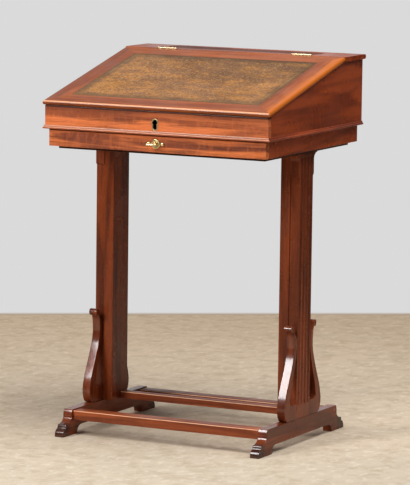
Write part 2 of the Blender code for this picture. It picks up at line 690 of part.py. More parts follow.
def build_lock():
    """Make the lock case, its bolt, the plate that the bolt enters and the escutcheon."""
    half = LOCK_WIDTH / 2
    y_span = (LOCK_FRONT, LOCK_FRONT + LOCK_THICKNESS)
    case = block("lock_case", (-half, half), y_span, (LOCK_BOTTOM, LOCK_TOP), 0)
    slot_half = BOLT_WIDTH / 2 + GAP
    slot_y = (BOLT_Y - BOLT_THICKNESS / 2 - GAP, BOLT_Y + BOLT_THICKNESS / 2 + GAP)
    floor = LOCK_TOP - BOLT_LENGTH - GAP
    cut(case, block("bolt_slot", (-slot_half, slot_half), slot_y, (floor - GAP, LOCK_TOP + BOLT_LENGTH), 0))
    hole = keyhole_outline(KEYHOLE_HEAD, KEYHOLE_SLOT, KEYHOLE_DROP, KEYHOLE_Z)
    cut(case, prism("keyhole", hole, "Y", LOCK_FRONT - BOX_WALL, slot_y[0] + GAP, 0))
    dress(case, BRASS)
    bolt_x = (-BOLT_WIDTH / 2, BOLT_WIDTH / 2)
    bolt_y = (BOLT_Y - BOLT_THICKNESS / 2, BOLT_Y + BOLT_THICKNESS / 2)
    bolt = block("lock_bolt", bolt_x, bolt_y, (LOCK_TOP - BOLT_LENGTH, LOCK_TOP), 0)
    dress(bolt, STEEL)
    slide_empty("bolt_slide", (0.0, BOLT_Y, LOCK_TOP), [bolt])
    border = ESCUTCHEON_BORDER
    rim = keyhole_outline(KEYHOLE_HEAD + border, KEYHOLE_SLOT + border, KEYHOLE_DROP, KEYHOLE_Z)
    face = BOX_FRONT - ESCUTCHEON_PROUD
    plate = prism("keyhole_escutcheon", rim, "Y", face, face + ESCUTCHEON_THICKNESS, 0)
    cut(plate, prism("keyhole", hole, "Y", face - BOX_WALL, face + BOX_WALL, 0))
    dress(plate, BRASS)


def build_box():
    """Make the other walls and the floor of the desk box."""
    side_top = LEDGE_BOTTOM - GAP
    step_y = AXIS_Y + GAP
    outline = [
        (BOX_FRONT + BOX_WALL + GAP, BOX_BOTTOM),
        (BOX_BACK, BOX_BOTTOM),
        (BOX_BACK, side_top),
        (step_y, side_top),
        (step_y, slope_height(step_y)),
        (BOX_FRONT + BOX_WALL + GAP, slope_height(BOX_FRONT + BOX_WALL + GAP)),
    ]
    inside = HALF_WIDTH - BOX_WALL
    for side in (-1, 1):
        wall = prism(side_name(side) + "_box_side", outline, "X", *across(side, inside, HALF_WIDTH))
        dress(wall, MAHOGANY)
    reach = inside - GAP
    back_y = BOX_BACK - BOX_WALL
    dress(block("box_back", (-reach, reach), (back_y, BOX_BACK), (BOX_BOTTOM, side_top)), MAHOGANY)
    floor_y = (BOX_FRONT + BOX_WALL + GAP, back_y - GAP)
    floor = block("box_floor", (-reach, reach), floor_y, (BOX_BOTTOM, BOX_BOTTOM + BOX_FLOOR))
    dress(floor, DARK_MAHOGANY)


def build_mouldings():
    """Make the mitred base mouldings on the front and the two sides."""
    shape = moulding_outline()
    outline = [(MOULDING_DEPTH - reach, z) for reach, z in shape]
    half = HALF_WIDTH + MOULDING_DEPTH
    front = mitred_bar("front_base_moulding", outline, half, (1, 1))
    turn_mesh(front, Matrix.Translation((0, BOX_FRONT - MOULDING_DEPTH, 0)))
    dress(front, MAHOGANY)
    length = BOX_DEPTH + MOULDING_DEPTH - GAP
    middle = (BOX_BACK + BOX_FRONT - MOULDING_DEPTH - GAP) / 2
    for side in (-1, 1):
        mitres = (1, 0) if side > 0 else (0, 1)
        strip = mitred_bar(side_name(side) + "_base_moulding", outline, length / 2, mitres)
        turn = Matrix.Rotation(side * math.pi / 2, 4, "Z")
        shift = Matrix.Translation((side * half, middle + GAP, 0))
        turn_mesh(strip, shift @ turn)
        dress(strip, MAHOGANY)


def knuckle_slot(name, radius, centre, x_middle):
    """Make the cutter for the hollow that a hinge's knuckle turns in."""
    half = HINGE_LENGTH / 2 + KNUCKLE_CLEARANCE
    return rod(name, radius, "X", (x_middle, centre[0], centre[1]), -half, half)


def pen_tray():
    """Make the cutter for the pen tray: a shallow round hollow with scooped ends."""
    half = TRAY_LENGTH / 2
    sweep = ((TRAY_WIDTH / 2) ** 2 + TRAY_DEPTH ** 2) / (2 * TRAY_DEPTH)
    rim = sweep - TRAY_DEPTH
    scoop = arc((TRAY_END - half, rim), TRAY_END, TRAY_DEPTH, 180, 90)
    left = [(0.0, -half)] + [(radius, along) for along, radius in scoop]
    right = [(radius, -along) for radius, along in reversed(left)]
    middle_y = AXIS_Y + TRAY_SETBACK + TRAY_WIDTH / 2
    return turned("tray", left + right, "X", (0.0, middle_y, LEDGE_TOP + rim), 96)


def build_ledge():
    """Make the fixed ledge: round back edge, pen tray and the beds of the hinges."""
    front = AXIS_Y + GAP
    radius = LEDGE_THICKNESS / 2
    back = BOX_BACK + LEDGE_BACK_OVERHANG - radius
    nose = arc((back, LEDGE_BOTTOM + radius), radius, radius, -90, 90, 2 * ROUND_STEPS)
    outline = [(front, LEDGE_BOTTOM)] + nose + [(front, LEDGE_TOP)]
    ledge = prism("top_ledge", outline, "X", -LID_HALF, LID_HALF, 0)
    cut(ledge, pen_tray())
    for side in (-1, 1):
        middle = side * HINGE_SPACING / 2
        clear = KNUCKLE_RADIUS + KNUCKLE_CLEARANCE
        cut(ledge, knuckle_slot("slot", clear, (AXIS_Y, AXIS_Z), middle))
        half = HINGE_LENGTH / 2 + GAP
        bed_y = (AXIS_Y - GAP, AXIS_Y + HINGE_LEAF_WIDTH + GAP)
        bed_z = (LEDGE_TOP - HINGE_LEAF_THICKNESS - GAP, LEDGE_TOP + HINGE_LEAF_THICKNESS)
        cut(ledge, block("bed", (middle - half, middle + half), bed_y, bed_z, 0))
    return dress(ledge, MAHOGANY)


# Lid pieces are drawn about the hinge axis: Y runs up the slope and Z stands off the lid
LID_TOP = -AXIS_RISE
LID_UNDER = LID_TOP - LID_THICKNESS
LID_NOSE = -(AXIS_Y - BOX_FRONT + LID_FRONT_OVERHANG) / math.cos(SLOPE)
LID_BACK = -LID_BACK_GAP
FIELD_FRONT = LID_NOSE + LID_FRAME_WIDTH
FIELD_BACK = LID_BACK - LID_FRAME_WIDTH
FIELD_HALF = LID_HALF - LID_FRAME_WIDTH


def frame_outline(rounded):
    """Draw the section of a lid rail as (distance in from the outer edge, height)."""
    radius = LID_THICKNESS / 2
    middle = LID_TOP - radius
    inner_top = LID_FRAME_WIDTH
    inner_low = LID_FRAME_WIDTH - LID_REBATE_WIDTH
    shelf = LID_UNDER + LID_REBATE_DEPTH
    if rounded:
        edge = arc((radius, middle), radius, radius, 90, 270, 2 * ROUND_STEPS)
    else:
        edge = [(0.0, LID_TOP), (LID_THICKNESS * math.tan(SLOPE), LID_UNDER)]
    return edge + [(inner_low, LID_UNDER), (inner_low, shelf), (inner_top, shelf), (inner_top, LID_TOP)]


def back_bevel():
    """Make the cutter that trims the lid upright at the ledge."""
    lean = math.tan(SLOPE)
    high = LID_TOP + LID_THICKNESS
    low = LID_UNDER - LID_THICKNESS
    line = [(LID_BACK + (z - LID_TOP) * lean, z) for z in (high, low)]
    outline = line + [(LID_FRAME_WIDTH, low), (LID_FRAME_WIDTH, high)]
    return prism("bevel", outline, "X", -BOX_WIDTH, BOX_WIDTH, 0)


def lid_frame():
    """Make the four mitred rails of the lid."""
    trim = GAP / math.sqrt(2)
    long_half = LID_HALF - trim
    front = mitred_bar("lid_front_rail", frame_outline(True), long_half, (1, 1))
    turn_mesh(front, Matrix.Translation((0, LID_NOSE, 0)))
    back = mitred_bar("lid_back_rail", frame_outline(False), long_half, (1, 1))
    turn_mesh(back, Matrix.Translation((0, LID_BACK, 0)) @ Matrix.Rotation(math.pi, 4, "Z"))
    length = (LID_BACK - LID_NOSE) / 2 - trim
    middle = (LID_BACK + LID_NOSE) / 2
    pieces = [front, back]
    for side in (-1, 1):
        stile = mitred_bar("lid_" + side_name(side) + "_stile", frame_outline(True), length, (1, 1))
        turn = Matrix.Rotation(side * math.pi / 2, 4, "Z")
        turn_mesh(stile, Matrix.Translation((side * LID_HALF, middle, 0)) @ turn)
        pieces.append(cut(stile, back_bevel()))
    for side in (-1, 1):
        middle_x = side * HINGE_SPACING / 2
        clear = KNUCKLE_RADIUS + KNUCKLE_CLEARANCE
        cut(back, knuckle_slot("slot", clear, (0.0, 0.0), middle_x))
        half = HINGE_LENGTH / 2 + GAP
        bed_y = (-HINGE_LEAF_WIDTH - GAP, GAP)
        bed_z = (LID_TOP - HINGE_LEAF_THICKNESS - GAP, LID_TOP + HINGE_LEAF_THICKNESS)
        cut(back, block("bed", (middle_x - half, middle_x + half), bed_y, bed_z, 0))
    centre_y, _ = to_lid(BOLT_Y, LOCK_TOP)
    half_x = STRIKE_WIDTH / 2 + GAP
    half_y = STRIKE_DEPTH / 2 + GAP
    plate_z = (LID_UNDER - STRIKE_THICKNESS, LID_UNDER + STRIKE_THICKNESS + GAP)
    cut(front, block("bed", (-half_x, half_x), (centre_y - half_y, centre_y + half_y), plate_z, 0))
    hole_half, hole_y, depth = strike_hole()
    hole_z = (LID_UNDER - STRIKE_THICKNESS, LID_UNDER + depth)
    cut(front, block("hole", (-hole_half, hole_half), (centre_y - hole_y, centre_y + hole_y), hole_z, 0))
    return [dress(piece, MAHOGANY) for piece in pieces]


def to_lid(y, z):
    """Turn a world (y, z) place into the lid's own (y, z)."""
    away = Vector((0.0, y - AXIS_Y, z - AXIS_Z))
    own = Matrix.Rotation(-SLOPE, 3, "X") @ away
    return own.y, own.z


def strike_hole():
    """Give the half width, half depth and height of the hole that takes the bolt."""
    lean = (BOLT_TRAVEL + LID_THICKNESS) * math.sin(SLOPE)
    half_y = BOLT_THICKNESS / 2 + lean / 2 + SLIDE_GAP
    return BOLT_WIDTH / 2 + SLIDE_GAP, half_y, BOLT_TRAVEL + 2 * SLIDE_GAP


def lid_fittings():
    """Make the panel, the leather and the strike plate."""
    lap = LID_REBATE_WIDTH - GAP
    low = (LID_UNDER, LID_UNDER + LID_REBATE_DEPTH - GAP)
    plate_y = (FIELD_FRONT - lap, FIELD_BACK + lap)
    panel = block("lid_panel", (-FIELD_HALF - lap, FIELD_HALF + lap), plate_y, low, 0)
    field_x = (-FIELD_HALF + GAP, FIELD_HALF - GAP)
    field_y = (FIELD_FRONT + GAP, FIELD_BACK - GAP)
    leather_low = LID_TOP - LEATHER_THICKNESS
    field = block("field", field_x, field_y, (LID_UNDER + LID_REBATE_DEPTH / 2, leather_low - GAP), 0)
    dress(join(panel, field), DARK_MAHOGANY)
    leather = block("leather_inset", field_x, field_y, (leather_low, LID_TOP), ARRIS / 2)
    dress(leather, LEATHER)
    centre_y, _ = to_lid(BOLT_Y, LOCK_TOP)
    half_x = STRIKE_WIDTH / 2
    half_y = STRIKE_DEPTH / 2
    plate_z = (LID_UNDER, LID_UNDER + STRIKE_THICKNESS)
    plate_y = (centre_y - half_y, centre_y + half_y)
    strike = block("lock_strike_plate", (-half_x, half_x), plate_y, plate_z, 0)
    hole_half, hole_y, _ = strike_hole()
    reach = (LID_UNDER - STRIKE_THICKNESS, LID_UNDER + 2 * STRIKE_THICKNESS)
    cut(strike, block("hole", (-hole_half, hole_half), (centre_y - hole_y, centre_y + hole_y), reach, 0))
    dress(strike, BRASS)
    return [panel, leather, strike]


def hinge_leaf(name, middle, direction, spans, origin):
    """Make a hinge leaf with its knuckles, running forward (-1) or back (+1) from the axis."""
    y0, z0 = origin
    half = HINGE_LENGTH / 2
    top = z0 - AXIS_RISE
    y_span = tuple(sorted((y0 + direction * (PIN_RADIUS + GAP), y0 + direction * HINGE_LEAF_WIDTH)))
    leaf = block(name, (middle - half, middle + half), y_span, (top - HINGE_LEAF_THICKNESS, top), 0)
    for start, end in free_spans(spans, half):
        clear = KNUCKLE_RADIUS + KNUCKLE_CLEARANCE
        cut(leaf, rod("clear", clear, "X", (middle, y0, z0), start, end))
    for start, end in spans:
        join(leaf, rod("knuckle", KNUCKLE_RADIUS, "X", (middle, y0, z0), start, end))
    cut(leaf, rod("bore", PIN_RADIUS + GAP, "X", (middle, y0, z0), -HINGE_LENGTH, HINGE_LENGTH))
    return dress(leaf, BRASS)


def free_spans(spans, half):
    """Give the lengths along a hinge that the other leaf's knuckles take, with clearance."""
    edges = [-half - GAP]
    for start, end in spans:
        edges.extend((start, end))
    edges.append(half + GAP)
    return [(a, b) for a, b in zip(edges[::2], edges[1::2]) if b - a > 2 * GAP]


def build_hinges():
    """Make two three-knuckle hinges; the lid's leaves are returned for the lid's pivot."""
    third = HINGE_LENGTH / 6
    half = HINGE_LENGTH / 2
    lid_pieces = []
    for side in (-1, 1):
        middle = side * HINGE_SPACING / 2
        label = side_name(side) + "_hinge_"
        outer = [(-half, -third - GAP / 2), (third + GAP / 2, half)]
        inner = [(-third + GAP / 2, third - GAP / 2)]
        hinge_leaf(label + "ledge_leaf", middle, 1, inner, (AXIS_Y, AXIS_Z))
        lid_pieces.append(hinge_leaf(label + "lid_leaf", middle, -1, outer, (0.0, 0.0)))
        pin = rod(label + "pin", PIN_RADIUS, "X", (middle, AXIS_Y, AXIS_Z), -half, half, 16)
        dress(pin, BRASS)
    return lid_pieces


def parent_to(pivot, pieces):
    """Hang pieces on a pivot, keeping their own coordinates."""
    for piece in pieces:
        piece.parent = pivot


def pivot_empty(name, place_at, slope=0.0):
    """Make the empty that a moving body hangs on."""
    pivot = bpy.data.objects.new(name, None)
    pivot.location = place_at
    pivot.rotation_euler = (slope, 0.0, 0.0)
    bpy.context.scene.collection.objects.link(pivot)
    return pivot


def slide_empty(name, place_at, pieces):
    """Hang pieces drawn in the table's own coordinates on an empty that they slide with."""
    pivot = pivot_empty(name, place_at)
    parent_to(pivot, pieces)
    for piece in pieces:
        piece.matrix_parent_inverse = Matrix.Translation(place_at).inverted()


def build_lid():
    """Make the lid and hang it on the hinge axis."""
    pieces = lid_frame() + lid_fittings() + build_hinges()
    parent_to(pivot_empty("lid_pivot", (0.0, AXIS_Y, AXIS_Z), SLOPE), pieces)


def build_drawer():
    """Make the drawer: front, two sides, back, bottom and pull."""
    front_back = FRIEZE_FRONT + DRAWER_FRONT_THICKNESS
    z_span = (FRIEZE_BOTTOM, FRIEZE_TOP - SLIDE_GAP)
    front = block("drawer_front", (-FRIEZE_HALF, FRIEZE_HALF), (FRIEZE_FRONT, front_back), z_span)
    outside = RAIL_INSIDE - DRAWER_SLACK
    inside = outside - DRAWER_SIDE_THICKNESS
    low = BOARD_TOP + GAP
    high = BOX_BOTTOM - DRAWER_TOP_CLEARANCE
    end = FRIEZE_BACK - FRIEZE_RAIL - DRAWER_BACK_CLEARANCE
    back_start = end - DRAWER_SIDE_THICKNESS
    bottom_low = low + DRAWER_BOTTOM_RISE
    bottom_high = bottom_low + DRAWER_BOTTOM
    groove_z = (bottom_low - GAP, bottom_high + GAP)
    groove_reach = DRAWER_GROOVE + GAP
    y_side = (front_back - DRAWER_TONGUE, end)
    pieces = [front]
    for side in (-1, 1):
        groove_x = across(side, inside - GAP, outside + GAP)
        groove_y = (front_back - DRAWER_TONGUE - GAP, front_back + BOX_WALL)
        cut(front, block("housing", groove_x, groove_y, (low - GAP, high + GAP), 0))
        name = "drawer_" + side_name(side) + "_side"
        wall = block(name, across(side, inside, outside), y_side, (low, high), 0)
        slot = across(side, inside - groove_reach, inside + groove_reach)
        cut(wall, block("groove", slot, (front_back - BOX_WALL, end + BOX_WALL), groove_z, 0))
        pieces.append(dress(wall, DRAWER_LINING))
    floor_half = inside + DRAWER_GROOVE
    slot_y = (front_back - groove_reach, front_back + BOX_WALL)
    cut(front, block("groove", (-floor_half - GAP, floor_half + GAP), slot_y, groove_z, 0))
    stud = PULL_STUD_RADIUS + GAP
    bore = (FRIEZE_FRONT - BOX_WALL, front_back + BOX_WALL)
    cut(front, rod("stud_hole", stud, "Y", (0.0, 0.0, PULL_Z), *bore))
    dress(front, MAHOGANY)
    back_x = (-inside + GAP, inside - GAP)
    back = block("drawer_back", back_x, (back_start, end), (bottom_high + GAP, high), 0)
    pieces.append(dress(back, DRAWER_LINING))
    floor_y = (front_back - DRAWER_GROOVE, end)
    floor = block("drawer_bottom", (-floor_half, floor_half), floor_y, (bottom_low, bottom_high), 0)
    pieces.append(dress(floor, DRAWER_LINING))
    pieces.extend(build_pull(front_back))
    slide_empty("drawer_slide", (0.0, FRIEZE_FRONT, PULL_Z), pieces)


def build_pull(front_back):
    """Make the brass rose, the cross-bar pull and the nut on its stud."""
    face = ROSE_BACK
    centre = (0.0, 0.0, PULL_Z)
    edge = arc((ROSE_RADIUS - ROSE_THICKNESS, face), ROSE_THICKNESS, ROSE_THICKNESS, 270, 360, 4)
    rose = turned("pull_rose", [(0.0, face - ROSE_THICKNESS)] + edge + [(0.0, face)], "Y", centre, 28)
    half = LOBE_SPACING / 2
    arm_z = (PULL_Z - LOBE_RADIUS / 2, PULL_Z + LOBE_RADIUS / 2)
    join(rose, block("arm", (-half, half), (face - ROSE_ARM_THICKNESS, face), arm_z, 0))
    for side in (-1, 1):
        lobe = (side * half, 0.0, PULL_Z)
        dome = arc((0.0, face - ROSE_THICKNESS), LOBE_RADIUS, LOBE_RADIUS / 2, 270, 360, 4)
        profile = [(max(radius, 0.0), along) for radius, along in dome] + [(LOBE_RADIUS, face), (0.0, face)]
        join(rose, turned("lobe", profile, "Y", lobe, 16))
    stud = PULL_STUD_RADIUS + GAP
    cut(rose, rod("stud_hole", stud, "Y", centre, face - BOX_WALL, face + BOX_WALL))
    dress(rose, BRASS)
    nut_end = front_back + GAP + PULL_NUT_THICKNESS
    profile = [
        (0.0, PULL_BAR_Y),
        (PULL_POST_RADIUS, PULL_BAR_Y),
        (PULL_POST_RADIUS, PULL_BACK - 2 * PULL_POST_RADIUS),
        (PULL_COLLAR_RADIUS, PULL_BACK - PULL_POST_RADIUS),
        (PULL_COLLAR_RADIUS, PULL_BACK),
        (PULL_STUD_RADIUS, PULL_BACK),
        (PULL_STUD_RADIUS, nut_end),
        (0.0, nut_end),
    ]
    pull = turned("drawer_pull", profile, "Y", centre)
    reach = PULL_BAR_LENGTH / 2 - PULL_BALL_RADIUS
    meet = math.degrees(math.acos(PULL_BAR_RADIUS / PULL_BALL_RADIUS))
    right = arc((0.0, reach), PULL_BALL_RADIUS, PULL_BALL_RADIUS, -meet, 90, 5)
    left = [(radius, -along) for radius, along in reversed(right)]
    bar = [(max(radius, 0.0), along) for radius, along in left + right]
    join(pull, turned("bar", bar, "X", (0.0, PULL_BAR_Y, PULL_Z)))
    dress(pull, BRASS)
    nut = rod("pull_nut", PULL_NUT_RADIUS, "Y", centre, front_back + GAP, nut_end, PULL_NUT_SIDES)
    cut(nut, rod("stud_hole", stud, "Y", centre, front_back - BOX_WALL, nut_end + BOX_WALL))
    dress(nut, BRASS)
    return [rose, pull, nut]


def stand_on_origin():
    """Hang the whole table on one empty, so that its origin lies under its middle."""
    root = pivot_empty("table_origin", (0.0, -ORIGIN_Y, 0.0))
    parent_to(root, [item for item in bpy.data.objects if item.parent is None and item != root])


def main():
    """Build every piece of the table."""
    clear_scene()
    for side in (-1, 1):
        build_sled(side)
        build_pilaster(side)
        build_post(side)
        for facing in (-1, 1):
            build_bracket(side, facing)
    build_stretchers()
    build_under_board()
    build_frieze()
    build_box_front()
    build_box()
    build_mouldings()
    build_lock()
    build_ledge()
    build_lid()
    build_drawer()
    stand_on_origin()


main()
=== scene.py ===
"""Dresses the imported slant-top writing table and sets it on a pale studio floor.

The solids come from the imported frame.  Curved pieces are copied, merged and smoothed, the
screw heads and the leather are modelled here, and every piece gets a procedural finish.
"""
import logging
import math
from dataclasses import dataclass, field, replace
from enum import Enum
from typing import Callable, Optional, Sequence, Union

import bpy
from mathutils import Matrix, Vector


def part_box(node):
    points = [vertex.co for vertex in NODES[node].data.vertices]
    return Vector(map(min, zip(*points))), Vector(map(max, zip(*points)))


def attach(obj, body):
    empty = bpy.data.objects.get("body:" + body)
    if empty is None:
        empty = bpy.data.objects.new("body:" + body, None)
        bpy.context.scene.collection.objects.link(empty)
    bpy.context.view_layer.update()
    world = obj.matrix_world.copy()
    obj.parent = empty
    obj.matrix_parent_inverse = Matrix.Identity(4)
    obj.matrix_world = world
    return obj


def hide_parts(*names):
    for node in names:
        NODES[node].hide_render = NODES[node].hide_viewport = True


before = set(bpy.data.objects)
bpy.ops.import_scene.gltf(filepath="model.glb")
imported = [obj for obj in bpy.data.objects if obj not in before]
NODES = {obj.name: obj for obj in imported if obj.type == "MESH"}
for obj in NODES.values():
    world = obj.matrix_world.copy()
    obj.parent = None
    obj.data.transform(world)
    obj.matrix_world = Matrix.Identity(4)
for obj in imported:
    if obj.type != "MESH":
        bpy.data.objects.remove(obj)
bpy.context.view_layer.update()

log = logging.getLogger("writing_table")

Colour = tuple[float, float, float]
Socket = bpy.types.NodeSocket
Value = Union[Socket, float, Colour]


def shade(red: float, green: float, blue: float) -> Colour:
    """Turn a colour as it is seen on a screen, 0 to 255, into linear light.

    Args:
        red: Red as seen.
        green: Green as seen.
        blue: Blue as seen.

    Returns:
        The linear colour.
    """
    def line(seen: float) -> float:
        """Undo the screen's curve for one channel."""
        part = seen / 255.0
        return part / 12.92 if part <= 0.04045 else ((part + 0.055) / 1.055) ** 2.4

    return line(red), line(green), line(blue)


class Grain(Enum):
    """The way that a board's grain runs."""

    ACROSS = "across"
    DEPTH = "depth"
    UPRIGHT = "upright"
    SLOPE = "slope"


class Body(Enum):
    """The bodies that pieces ride on."""

    TABLE = "table"
    LID = "lid"
    DRAWER = "drawer"
    BOLT = "bolt"


@dataclass(frozen=True)
class LidPlane:
    """Where the lid lies: the hinge line, the slope and the level of its faces."""

    axis: Vector
    slope: float
    top: float = -0.0010
    under: float = -0.0130

    def matrix(self) -> Matrix:
        """Give the placing of something drawn about the hinge line."""
        return Matrix.Translation(self.axis) @ Matrix.Rotation(self.slope, 4, "X")


LID = LidPlane(Vector((0.0, 0.1548, 0.9022)), math.radians(14.02))

GRAIN_TURN: dict[Grain, tuple[float, float, float]] = {
    Grain.ACROSS: (0.0, 0.0, 0.0),
    Grain.DEPTH: (0.0, 0.0, -math.pi / 2),
    Grain.UPRIGHT: (0.0, math.pi / 2, 0.0),
    Grain.SLOPE: (-LID.slope, 0.0, -math.pi / 2),
}


class FinishGraph:
    """A material's nodes, put together one at a time."""

    def __init__(self, name: str) -> None:
        """Start a material with its Principled shader.

        Args:
            name: The material's name.
        """
        self.material = bpy.data.materials.new(name)
        self.material.use_nodes = True
        self.tree = self.material.node_tree
        self.shader = self.tree.nodes["Principled BSDF"]

    def node(self, kind: str, **settings: object) -> bpy.types.Node:
        """Add a node.

        Args:
            kind: The node's type.
            settings: Its properties.

        Returns:
            The new node.
        """
        made = self.tree.nodes.new(kind)
        for key, value in settings.items():
            setattr(made, key, value)
        return made

    def feed(self, target: Socket, value: Value) -> None:
        """Link a socket, or set its constant.

        Args:
            target: The socket that is fed.
            value: A socket, a number or a colour.
        """
        if isinstance(value, bpy.types.NodeSocket):
            self.tree.links.new(value, target)
        elif isinstance(value, (tuple, list)) and target.type == "RGBA":
            target.default_value = (*value, 1.0)
        else:
            target.default_value = value

    def place(self, turn: Sequence[float] = (0, 0, 0), shift: Sequence[float] = (0, 0, 0)) -> Socket:
        """Read the piece's own coordinates, turned and shifted.

        Args:
            turn: Angles about X, Y and Z.
            shift: Distances along X, Y and Z.

        Returns:
            The vector.
        """
        coordinates = self.node("ShaderNodeTexCoord")
        mapping = self.node("ShaderNodeMapping")
        mapping.inputs["Rotation"].default_value = turn
        mapping.inputs["Location"].default_value = shift
        self.feed(mapping.inputs["Vector"], coordinates.outputs["Object"])
        return mapping.outputs["Vector"]

    def stretch(self, vector: Socket, along: float, across: float, deep: Optional[float] = None) -> Socket:
        """Scale a vector on each of its own axes.

        Args:
            vector: What is scaled.
            along: Factor along the grain.
            across: Factor across the grain.
            deep: Factor into the board, or the same as across.

        Returns:
            The scaled vector.
        """
        scale = self.node("ShaderNodeVectorMath", operation="MULTIPLY")
        self.feed(scale.inputs[0], vector)
        scale.inputs[1].default_value = (along, across, across if deep is None else deep)
        return scale.outputs["Vector"]

    def noise(
        self, vector: Socket, scale: float, detail: float = 3.0, rough: float = 0.5, bend: float = 0.0
    ) -> Socket:
        """Add cloudy variation.

        Args:
            vector: Where it is read.
            scale: Waves per metre.
            detail: Octaves.
            rough: Strength of the finer octaves.
            bend: How far the pattern is warped.

        Returns:
            A value about 0.5.
        """
        cloud = self.node("ShaderNodeTexNoise")
        self.feed(cloud.inputs["Vector"], vector)
        cloud.inputs["Scale"].default_value = scale
        cloud.inputs["Detail"].default_value = detail
        cloud.inputs["Roughness"].default_value = rough
        cloud.inputs["Distortion"].default_value = bend
        return cloud.outputs["Fac"]

    def span(self, value: Value, low: float, high: float, start: float = 0.0, end: float = 1.0) -> Socket:
        """Ease a value from one range to another.

        Args:
            value: What is eased.
            low: Value that gives start.
            high: Value that gives end.
            start: Result at low.
            end: Result at high.

        Returns:
            The eased value.
        """
        ease = self.node("ShaderNodeMapRange", interpolation_type="SMOOTHSTEP", clamp=True)
        self.feed(ease.inputs["Value"], value)
        ease.inputs["From Min"].default_value = low
        ease.inputs["From Max"].default_value = high
        ease.inputs["To Min"].default_value = start
        ease.inputs["To Max"].default_value = end
        return ease.outputs["Result"]

    def sum(self, operation: str, first: Value, second: Value = 0.0) -> Socket:
        """Do one piece of arithmetic.

        Args:
            operation: Name of the operation.
            first: First value.
            second: Second value.

        Returns:
            The result.
        """
        step = self.node("ShaderNodeMath", operation=operation)
        self.feed(step.inputs[0], first)
        self.feed(step.inputs[1], second)
        return step.outputs["Value"]

    def blend(self, factor: Value, under: Value, over: Value, how: str = "MIX") -> Socket:
        """Lay one colour over another.

        Args:
            factor: How much of the upper colour shows.
            under: Lower colour.
            over: Upper colour.
            how: The way that they mix.

        Returns:
            The colour.
        """
        mix = self.node("ShaderNodeMix", data_type="RGBA", blend_type=how)
        self.feed(mix.inputs[0], factor)
        self.feed(mix.inputs[6], under)
        self.feed(mix.inputs[7], over)
        return mix.outputs[2]

    def split(self, vector: Socket) -> tuple[Socket, Socket, Socket]:
        """Take a vector apart.

        Args:
            vector: What is taken apart.

        Returns:
            Its three parts.
        """
        parts = self.node("ShaderNodeSeparateXYZ")
        self.feed(parts.inputs["Vector"], vector)
        return parts.outputs["X"], parts.outputs["Y"], parts.outputs["Z"]

    def edges(self, radius: float) -> Socket:
        """Find the rubbed edges of a piece.

        Args:
            radius: Width of the rubbed strip.

        Returns:
            1 on an edge and 0 on flat faces.
        """
        rounded = self.node("ShaderNodeBevel", samples=6)
        rounded.inputs["Radius"].default_value = radius
        surface = self.node("ShaderNodeNewGeometry")
        likeness = self.node("ShaderNodeVectorMath", operation="DOT_PRODUCT")
        self.feed(likeness.inputs[0], rounded.outputs["Normal"])
        self.feed(likeness.inputs[1], surface.outputs["Normal"])
        return self.span(likeness.outputs["Value"], 0.95, 0.78)

    def facing(self) -> tuple[Socket, Socket, Socket]:
        """Read which way the piece's surface faces.

        Returns:
            The three parts of its own normal.
        """
        return self.split(self.node("ShaderNodeTexCoord").outputs["Normal"])

    def within(self, hollow: "Hollow") -> Socket:
        """Find what lies inside a box.

        Args:
            hollow: The box.

        Returns:
            Its strength inside it and 0 outside.
        """
        middle = (hollow.low + hollow.high) / 2
        half = (hollow.high - hollow.low) / 2
        inside: Value = 1.0
        for part, reach in zip(self.split(self.place(shift=-middle)), half):
            near = self.sum("LESS_THAN", self.sum("ABSOLUTE", part), reach)
            inside = self.sum("MULTIPLY", inside, near)
        return self.sum("MULTIPLY", inside, hollow.strength)

    def bump(self, height: Socket, strength: float, distance: float) -> None:
        """Raise the surface by a height.

        Args:
            height: The height, 0 to 1.
            strength: How much it shows.
            distance: Height in metres at 1.
        """
        relief = self.node("ShaderNodeBump")
        relief.inputs["Strength"].default_value = strength
        relief.inputs["Distance"].default_value = distance
        self.feed(relief.inputs["Height"], height)
        self.feed(self.shader.inputs["Normal"], relief.outputs["Normal"])

    def mix_shader(self, factor: Socket, first: Socket, second: Socket, last: bool = False) -> Socket:
        """Mix two shaders.

        Args:
            factor: How much of the second shows.
            first: First shader.
            second: Second shader.
            last: Whether the mix is the material's surface.

        Returns:
            The mixed shader.
        """
        mix = self.node("ShaderNodeMixShader")
        for target, value in zip(mix.inputs, (factor, first, second)):
            self.feed(target, value)
        if last:
            self.feed(self.tree.nodes["Material Output"].inputs["Surface"], mix.outputs["Shader"])
        return mix.outputs["Shader"]

    def set(self, **sockets: Value) -> None:
        """Feed the shader's sockets, underscores for spaces."""
        for key, value in sockets.items():
            self.feed(self.shader.inputs[key.replace("_", " ")], value)


@dataclass(frozen=True)
class Hollow:
    """A box, in the table's coordinates, inside which a piece is painted dark as shade in a recess."""

    low: Vector
    high: Vector
    painted_shade_tone: Colour = shade(16, 11, 9)
    strength: float = 1.0


# Painted shade: the inside of the keyhole, through the box front and the lock case, is painted near black
KEYHOLE = Hollow(Vector((-0.0070, -0.2478, 0.7440)), Vector((0.0070, -0.2370, 0.7700)))
# Painted shade: the pen tray's hollow in the ledge is painted dark brown
PEN_TRAY = Hollow(
    Vector((-0.2090, 0.1600, 0.8900)), Vector((0.2090, 0.2480, 0.9008)), painted_shade_tone=shade(52, 27, 18), strength=0.75
)


@dataclass(frozen=True)
class ToneBand:
    """A stretch near a board's end or edge, along one axis, whose colour is shifted: painted shade and
    painted shadow lines under overhangs, a painted highlight on the right lid stile, and darker toe ends.
    """

    tone: Colour
    axis: int
    start: float
    end: float
    most: float
    fray: float


